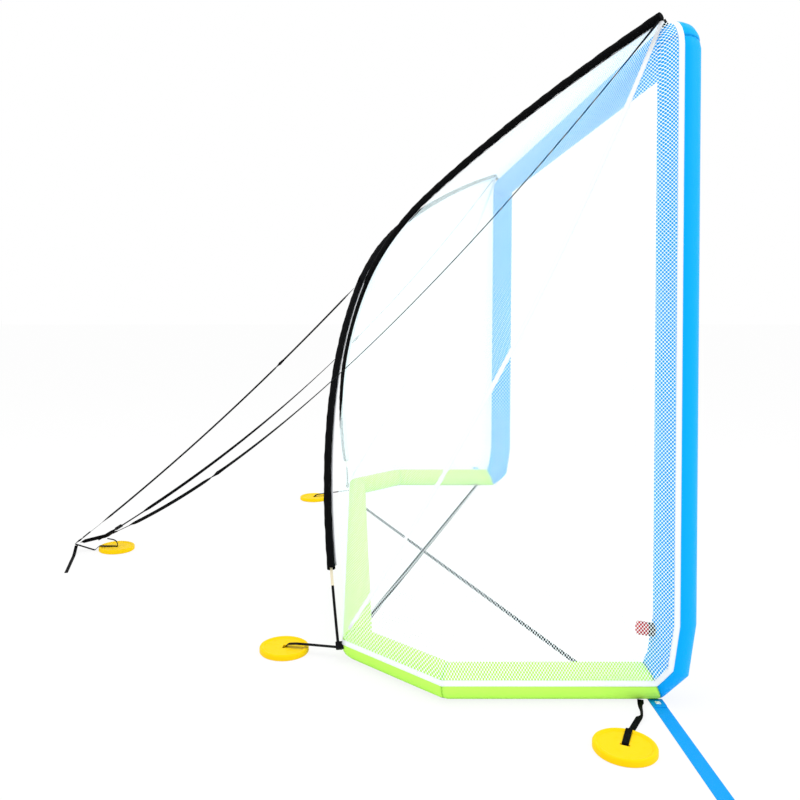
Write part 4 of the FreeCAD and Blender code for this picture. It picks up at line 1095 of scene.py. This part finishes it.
class GOAL_OT_seam_tapes(bpy.types.Operator):
    """Build the white tapes over the two side seams of the net"""

    bl_idname = "goal.seam_tapes"
    bl_label = "Side seam tapes"

    def execute(self, context):
        sizes = context.scene.goal_sizes
        outer_edge = frame_edge()
        for word, turn in SIDES:
            line, across = [], []
            for row in range(2 * HALF_ROWS):
                point = SEAM[row]
                way = way_at(SEAM, row)
                flat = square_to(way, POLE_EDGE[row] - point) - square_to(way, outer_edge[row] - point)
                flat.normalize()
                out = flat.cross(way)
                if out.x > 0:
                    out = -out
                line.append(turn(point + out * SEAM_TAPE_LIFT))
                across.append(turn(flat))
            tape = strap(f"side_seam_tape_{word}", line, sizes.tape_width, "white_tape",
                         sizes.tape_thickness, sides=across, lift=0)
            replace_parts(tape, "side_seam_tapes")
        return {"FINISHED"}


class GOAL_OT_sleeves(bpy.types.Operator):
    """Build the creased black sleeves that hold the poles, with their white binding strips"""

    bl_idname = "goal.sleeves"
    bl_label = "Pole sleeves"

    def execute(self, context):
        sizes = context.scene.goal_sizes
        for side, turn in SIDES:
            sleeve = self.sleeve(side, POLES[side], sizes)
            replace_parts(sleeve, f"pole_sleeve_{side}")
            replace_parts(self.binding(side, POLES[side], turn, sizes), f"pole_sleeve_{side}")
        return {"FINISHED"}

    def binding(self, side, pole, turn, sizes):
        """The white strip inside the net's seam, which the sleeve is sewn to."""
        width, off_sleeve, short_of_end, longest_run = 0.03, 0.0008, 0.01, 0.03
        flat = turn(CROSSING - POLE_TOP).cross(turn(POLE_FOOT - POLE_TOP)).normalized()
        line = []
        end = pole.length - SLEEVE_OPEN_END - short_of_end
        steps = math.ceil(end / longest_run)
        for step in range(1, steps + 1):
            distance = end * step / steps
            inward = pole.way(distance).cross(flat).normalized()
            if inward.dot(CROSSING_OUT) > 0:
                inward = -inward
            line.append(pole.point(distance) + inward * (SLEEVE_RADIUS + off_sleeve))
        return strap(f"pole_sleeve_{side}_binding", line, width, "white_tape", sizes.tape_thickness,
                     sides=[flat] * len(line), lift=0)

    def sleeve(self, side, pole, sizes):
        """The cloth round a pole: a closed top end, creases, a hem and an open end that folds in."""
        count, longest_run, hem_length, hem_height = 28, 0.009, 0.014, 0.0006
        start, end = -0.002, pole.length - SLEEVE_OPEN_END
        steps = math.ceil((end - start) / longest_run)
        rings, alongs = [], []
        phase = 1.3 if side == "left" else 4.1

        def ring(distance, radius, crease):
            middle, way = pole.point(distance), pole.way(distance)
            first = way.cross(UP).normalized()
            second = first.cross(way)
            points = []
            for step in range(count):
                angle = 2 * math.pi * step / count
                fold = (math.sin(distance * 71 + 2 * angle + phase) * 0.5
                        + math.sin(distance * 133 - 3 * angle + 2 * phase) * 0.3
                        + math.sin(distance * 29 + angle) * 0.2)
                reach = radius * (1 - 0.02 * (1 - math.cos(2 * angle))) + crease * fold
                points.append(
                    middle + first * (reach * math.cos(angle)) + second * (reach * math.sin(angle)))
            return points

        for radius, inset in ((0.3, 0.0), (0.75, 0.0), (0.97, 0.001)):
            rings.append(ring(start + inset, SLEEVE_RADIUS * radius, 0))
            alongs.append(start + inset)
        for step in range(1, steps + 1):
            distance = start + (end - start) * step / steps
            hem = hem_height if end - distance < hem_length else 0
            crease = sizes.sleeve_crease * (0.35 if hem else 1)
            rings.append(ring(distance, SLEEVE_RADIUS - 0.0003 + hem, crease))
            alongs.append(distance)
        for radius, inset in ((0.93, 0.0005), (0.86, -0.002), (0.84, -0.03), (0.4, -0.031)):
            rings.append(ring(end + inset, SLEEVE_RADIUS * radius, 0))
            alongs.append(end + 0.002 + abs(inset))
        around = 2 * math.pi * SLEEVE_RADIUS
        return rings_piece(f"pole_sleeve_{side}_cloth", rings, alongs, around, "black_cloth")


class GOAL_OT_pads(bpy.types.Operator):
    """Build the corner pads under the sleeves' ends and the tab at the crossing"""

    bl_idname = "goal.pads"
    bl_label = "Pads and tab"

    def execute(self, context):
        angles = [2 * math.pi * step / 20 for step in range(20)]
        for side, pole in POLES.items():
            end = pole.point(0)
            corner = Vector((math.copysign(BAR_END.x, end.x), 0, TOP_AXIS))
            way = (end - corner).normalized()
            side_way = way.cross(pole.way(0)).normalized()
            other = way.cross(side_way)
            reach = (end - corner).length
            rings, alongs = [], []
            for along, radius in ((FRONT_RADIUS + 0.0005, 0.0095), (FRONT_RADIUS + 0.003, 0.0092),
                                  (reach - 0.0155, 0.0082), (reach - 0.0143, 0.0088)):
                middle = corner + way * along
                rings.append([
                    middle + side_way * (radius * math.cos(angle)) + other * (radius * math.sin(angle))
                    for angle in angles])
                alongs.append(along)
            pad = rings_piece(f"corner_pad_{side}", rings, alongs, 0.06, "black_cloth")
            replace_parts(pad, "corner_pads")
        top, tip = TAB_SPOT - TAB_DOWN * TAB_ABOVE, TAB_SPOT + TAB_DOWN * TAB_BELOW
        line = rounded_line([top, between(top, tip, 0.5), tip], 0.01, 0.003)
        tab = strap("crossing_tab_web", line, TAB_WIDTH, "black_cloth", sides=[ALONG_BAR] * len(line),
                    narrow=lambda share: 0.12 + 0.88 * min(1, 1.05 - share))
        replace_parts(tab, "crossing_tab")
        return {"FINISHED"}


class GOAL_OT_ground_straps(bpy.types.Operator):
    """Build the two crossed floor straps and the blue straps with their doubled flaps"""

    bl_idname = "goal.ground_straps"
    bl_label = "Straps on the ground"

    def execute(self, context):
        sizes = context.scene.goal_sizes
        front = Vector((-HALF_WIDTH + LEDGE, 0.172, 0))
        rear = Vector((0.921, BASE_BACK - LEDGE, 0))
        front = off_tube(front, rear, ALONG_BAR, sizes.floor_strap_width)
        rear = off_tube(rear, front, -BACK, sizes.floor_strap_width)
        way = (rear - front).normalized()
        cross = front + way * (-front.x / way.x)
        over_strap = WEBBING + SEAT_GAP
        hump = [(-0.07, 0), (-0.035, over_strap), (0.035, over_strap), (0.07, 0)]
        over = [front] + [cross + way * along + UP * rise for along, rise in hump] + [rear]
        lower = rounded_line([front, rear], 0.01, 0.01)
        upper = rounded_line([mirrored(point) for point in over], 0.01, 0.01)
        for word, line in (("lower", lower), ("upper", upper)):
            band = strap(f"floor_strap_{word}_web", line, sizes.floor_strap_width, "black_webbing")
            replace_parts(band, f"floor_strap_{word}")
        line_start, line_end = Vector((-HALF_WIDTH - LEDGE, 0.078, 0)), Vector((-2.03, 0.094, 0))
        line_way = (line_end - line_start).normalized()
        flap_gap, flap_length = 0.0062, 0.046
        flap_start = line_start + line_way * flap_gap + UP * over_strap
        flap_end = flap_start + line_way * flap_length
        for word, turn in SIDES:
            line = [turn(point) for point in rounded_line([line_start, line_end], 0.01, 0.012)]
            band = strap(f"line_strap_{word}_web", line, sizes.line_strap_width, "blue_webbing")
            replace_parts(band, f"line_strap_{word}")
            line = [turn(point) for point in rounded_line([flap_start, flap_end], 0.01, 0.002)]
            flap = strap(f"strap_flap_{word}_web", line, sizes.line_strap_width, "blue_webbing",
                         narrow=lambda share: 1 - 0.12 * max(0, share - 0.8) / 0.2)
            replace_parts(flap, "strap_flaps")
        return {"FINISHED"}


def off_tube(start, end, tube_out, width):
    """Where a slanting strap begins, so that its nearer corner too is clear of the tube."""
    way = (end - start).normalized()
    return start + way * (width / 2 * abs(way.cross(tube_out).z) / way.dot(tube_out))


def smooth_step(value):
    """0 up to 0 and 1 from 1 on, with a soft rise between."""
    value = min(max(value, 0), 1)
    return value * value * (3 - 2 * value)


def twisting(first_tilt, last_tilt, half_turns, slider_run):
    """A strap's turn: flat at both ends and in its slider, tilted between, turned over at some shares."""
    flat_from, flat_to = slider_run

    def turn(share):
        held = smooth_step(share / 0.05) * smooth_step((1 - share) / 0.004)
        before, after = (share - flat_from) / 0.015 + 1, (flat_to - share) / 0.012 + 1
        held *= 1 - smooth_step(before) * smooth_step(after)
        tilt = first_tilt + (last_tilt - first_tilt) * smooth_step((share - 0.45) / 0.45)
        over = sum(smooth_step((share - spot + 0.02) / 0.04) for spot in half_turns)
        return tilt * held + math.pi * over

    return turn


def half_twist(share):
    """The turn of a strap that stands on edge for a short run and lies flat again."""
    return 1.25 * smooth_step((share - 0.04) / 0.2) * smooth_step((0.42 - share) / 0.1)


def sagging(top, bottom, sag, runs):
    """Points on a strap that hangs in a parabola."""
    points = []
    for run in range(runs + 1):
        share = run / runs
        points.append(between(top, bottom, share) - UP * (4 * sag * share * (1 - share)))
    return points


class GOAL_OT_guys(bpy.types.Operator):
    """Build the three guys, the anchor loop and the loose tail"""

    bl_idname = "goal.guys"
    bl_label = "Guys"

    def execute(self, context):
        sizes = context.scene.goal_sizes
        hold = TAB_SPOT + TAB_DOWN * (TAB_BELOW - TAB_SEWN) + TAB_OUT * (WEBBING + SEAT_GAP)
        routes = {"centre": sagging(hold, GUY_END, GUY_SAG["centre"], 64)}
        for side, turn in SIDES:
            sag = GUY_SAG[side]
            end = POLES[side].point(0)
            arrive = (RING_CENTRE + UP * sag * 4 - end).normalized()
            at_ring = RING_CENTRE - arrive * (RING_REACH + SEAT_GAP)
            routes[side] = sagging(end + turn(GUY_OFF_SLEEVE), at_ring, sag, 96)
            routes[side] += [between(at_ring, turn(GATHERED), number / 8) for number in range(1, 9)]
        for name, route in routes.items():
            guy = strap(f"{name}_guy_web", route, sizes.guy_width, "black_webbing",
                        turn=twisting(*GUY_TWISTS[name]))
            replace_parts(guy, f"{name}_guy")
        anchor_way = (ANCHOR_CENTRE - Vector((GUY_END.x, GUY_END.y, 0))).normalized()
        arch = [(-0.044, 0.053), (-0.012, 0.046), (0.0019, 0.034), (0.0023, 0.004)]
        points = [ANCHOR_CENTRE + anchor_way * along + UP * rise for along, rise in arch]
        loop = strap("anchor_loop_web", rounded_line(points, 0.008, 0.002), sizes.guy_width, "black_webbing")
        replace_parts(loop, "anchor_loop")
        tail = [Vector((-0.0085, GUY_END.y - 0.008, GUY_END.z - 0.006)), Vector((-0.07, 2.268, 0)),
                Vector((-0.319, 2.215, 0))]
        loose = strap("guy_tail_web", rounded_line(tail, 0.02, 0.004), sizes.guy_width, "black_webbing")
        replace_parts(loose, "guy_tail")
        return {"FINISHED"}


class GOAL_OT_disc_straps(bpy.types.Operator):
    """Build the black straps that run from the frame into the anchor discs' holes"""

    bl_idname = "goal.disc_straps"
    bl_label = "Disc straps"

    def execute(self, context):
        width = context.scene.goal_sizes.disc_strap_width
        routes = {
            "front_left": ((-1.728, 0.256), (-HALF_WIDTH - LEDGE, 0.119), -ALONG_BAR),
            "front_right": ((1.69, 0.271), (HALF_WIDTH + LEDGE, 0.119), ALONG_BAR),
            "rear_left": ((-1.118, 1.195), (-1.165, BASE_BACK + LEDGE), BACK),
            "rear_right": ((1.048, 1.211), (1.15, BASE_BACK + LEDGE), BACK),
            "anchor": ((ANCHOR_CENTRE.x, ANCHOR_CENTRE.y), (GUY_END.x, GUY_END.y), None),
        }
        high = DISC_TOP + SEAT_GAP
        over_rim = [(0.1005, 0), (0.08, high), (0.0735, high), (0.0037, high - 0.004), (0.002, 0.004)]
        for name, (centre, start, tube_out) in routes.items():
            centre, start = Vector((*centre, 0)), Vector((*start, 0))
            if tube_out is None:
                start.z = GUY_END.z - WEBBING - SEAT_GAP
            else:
                start = off_tube(start, centre, tube_out, width)
            away = Vector((centre.x - start.x, centre.y - start.y, 0)).normalized()
            steps = over_rim
            if tube_out == BACK:
                start += tube_out * STRAP_RISE[0] + UP * STRAP_RISE[1]
                steps = STRAP_ARC
            points = [start] + [centre - away * before + UP * rise for before, rise in steps]
            turn = None
            if name.startswith("front"):
                fold_across = math.copysign(STRAP_FOLD.x, centre.x)
                points.insert(1, Vector((fold_across, STRAP_FOLD.y, STRAP_FOLD.z)))
                turn = half_twist
            line = rounded_line(points, 0.006, 0.004)
            band = strap(f"disc_strap_{name}_web", line, width, "black_webbing", turn=turn)
            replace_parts(band, f"disc_strap_{name}")
        return {"FINISHED"}


class GOAL_OT_finishes(bpy.types.Operator):
    """Give the rigid pieces, which keep their CAD shapes, their materials"""

    bl_idname = "goal.finishes"
    bl_label = "Rigid pieces"

    def execute(self, context):
        for slot, names in RIGID_SLOTS.items():
            for name in names:
                for place in bpy.data.objects[name].material_slots:
                    place.material = material(slot)
        return {"FINISHED"}


class GOAL_OT_stage(bpy.types.Operator):
    """Set up the floor, the light and the camera"""

    bl_idname = "goal.stage"
    bl_label = "Stage"

    def execute(self, context):
        self.floor()
        self.light(context.scene)
        self.camera(context.scene)
        context.scene.view_settings.view_transform = "Standard"
        return {"FINISHED"}

    def floor(self):
        """A pale floor that the camera sees nearly white, and that keeps the goal's shadow."""
        mesh = bpy.data.meshes.new("floor")
        reach = 60.0
        corners = [(-reach, -reach, 0), (reach, -reach, 0), (reach, reach, 0), (-reach, reach, 0)]
        mesh.from_pydata(corners, [], [(0, 1, 2, 3)])
        board = Board("studio_floor")
        tint = board.mix(board.noise(3.0, 3.0) * 0.02, (0.9, 0.9, 0.9, 1), (0.86, 0.86, 0.86, 1))
        matt = board.node("BsdfDiffuse", None, {"Color": tint})
        glow = board.node("Emission", None, {"Color": (1, 1, 1, 1), "Strength": 1.0})
        seen = board.node("LightPath", None, None, "Is Camera Ray")
        blended = board.node("MixShader", None, {0: seen * 0.85, 1: matt, 2: glow})
        board.place("OutputMaterial", None, {"Surface": blended})
        mesh.materials.append(board.material)
        floor = bpy.data.objects.new("floor", mesh)
        bpy.context.scene.collection.objects.link(floor)
        floor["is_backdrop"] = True

    def light(self, scene):
        """A white world and two soft lamps."""
        world = bpy.data.worlds.new("studio")
        scene.world = world
        world.use_nodes = True
        tree = world.node_tree
        tree.nodes.clear()
        white = tree.nodes.new("ShaderNodeBackground")
        white.inputs["Color"].default_value = (1, 1, 1, 1)
        white.inputs["Strength"].default_value = 1.0
        output = tree.nodes.new("ShaderNodeOutputWorld")
        tree.links.new(white.outputs[0], output.inputs[0])
        for name, place, aim, size, power in (
            ("front_light", (-3.0, -4.5, 3.5), (0, 0, 1), 3.0, 70),
            ("top_light", (-1.0, 1.0, 5.5), (0, 0, 0), 4.0, 80),
        ):
            lamp = bpy.data.lights.new(name, "AREA")
            lamp.size = size
            lamp.energy = power
            thing = bpy.data.objects.new(name, lamp)
            thing.location = place
            way = Vector(aim) - Vector(place)
            thing.rotation_euler = way.to_track_quat("-Z", "Y").to_euler()
            scene.collection.objects.link(thing)

    def camera(self, scene):
        """The photo's camera: level, 3.8 m to the left, looking along the goal line."""
        picture, focus, centre_across, centre_down = 800, 805, 357, 310
        camera = bpy.data.cameras.new("camera")
        camera.sensor_width = 36
        camera.lens = 36 * focus / picture
        camera.shift_x = (picture / 2 - centre_across) / picture
        camera.shift_y = (centre_down - picture / 2) / picture
        camera.clip_start = 0.05
        camera.clip_end = 200
        thing = bpy.data.objects.new("camera", camera)
        thing.location = Vector((-3.816, 0.951, 1.1424)) + TO_ORIGIN
        thing.rotation_euler = (math.radians(90), 0, math.radians(-90))
        scene.collection.objects.link(thing)
        scene.camera = thing


class GOAL_PT_panel(bpy.types.Panel):
    """The goal's sizes, colours and steps"""

    bl_idname = "GOAL_PT_panel"
    bl_label = "Inflatable goal"
    bl_space_type = "VIEW_3D"
    bl_region_type = "UI"
    bl_category = "Goal"

    def draw(self, context):
        layout = self.layout
        for group in (context.scene.goal_sizes, context.scene.goal_colours):
            box = layout.box()
            for word in group.__annotations__:
                box.prop(group, word)
        for step in STEPS:
            layout.operator(step.bl_idname)


STEPS = (GOAL_OT_tubes, GOAL_OT_tapes, GOAL_OT_nets, GOAL_OT_seam_tapes, GOAL_OT_sleeves, GOAL_OT_pads,
         GOAL_OT_ground_straps, GOAL_OT_guys, GOAL_OT_disc_straps, GOAL_OT_finishes, GOAL_OT_stage)
CLASSES = (GoalSizes, GoalColours, *STEPS, GOAL_PT_panel)


def register():
    for thing in CLASSES:
        bpy.utils.register_class(thing)
    bpy.types.Scene.goal_sizes = PointerProperty(type=GoalSizes)
    bpy.types.Scene.goal_colours = PointerProperty(type=GoalColours)


def unregister():
    del bpy.types.Scene.goal_colours
    del bpy.types.Scene.goal_sizes
    for thing in reversed(CLASSES):
        bpy.utils.unregister_class(thing)


def main():
    register()
    for step in STEPS:
        getattr(bpy.ops.goal, step.bl_idname.split(".")[1])()
    corners = {"frame": BOX_AT_START, "dressed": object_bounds()}
    {word: [list(low), list(high)] for word, (low, high) in corners.items()}


if __name__ == "__main__":
    main()
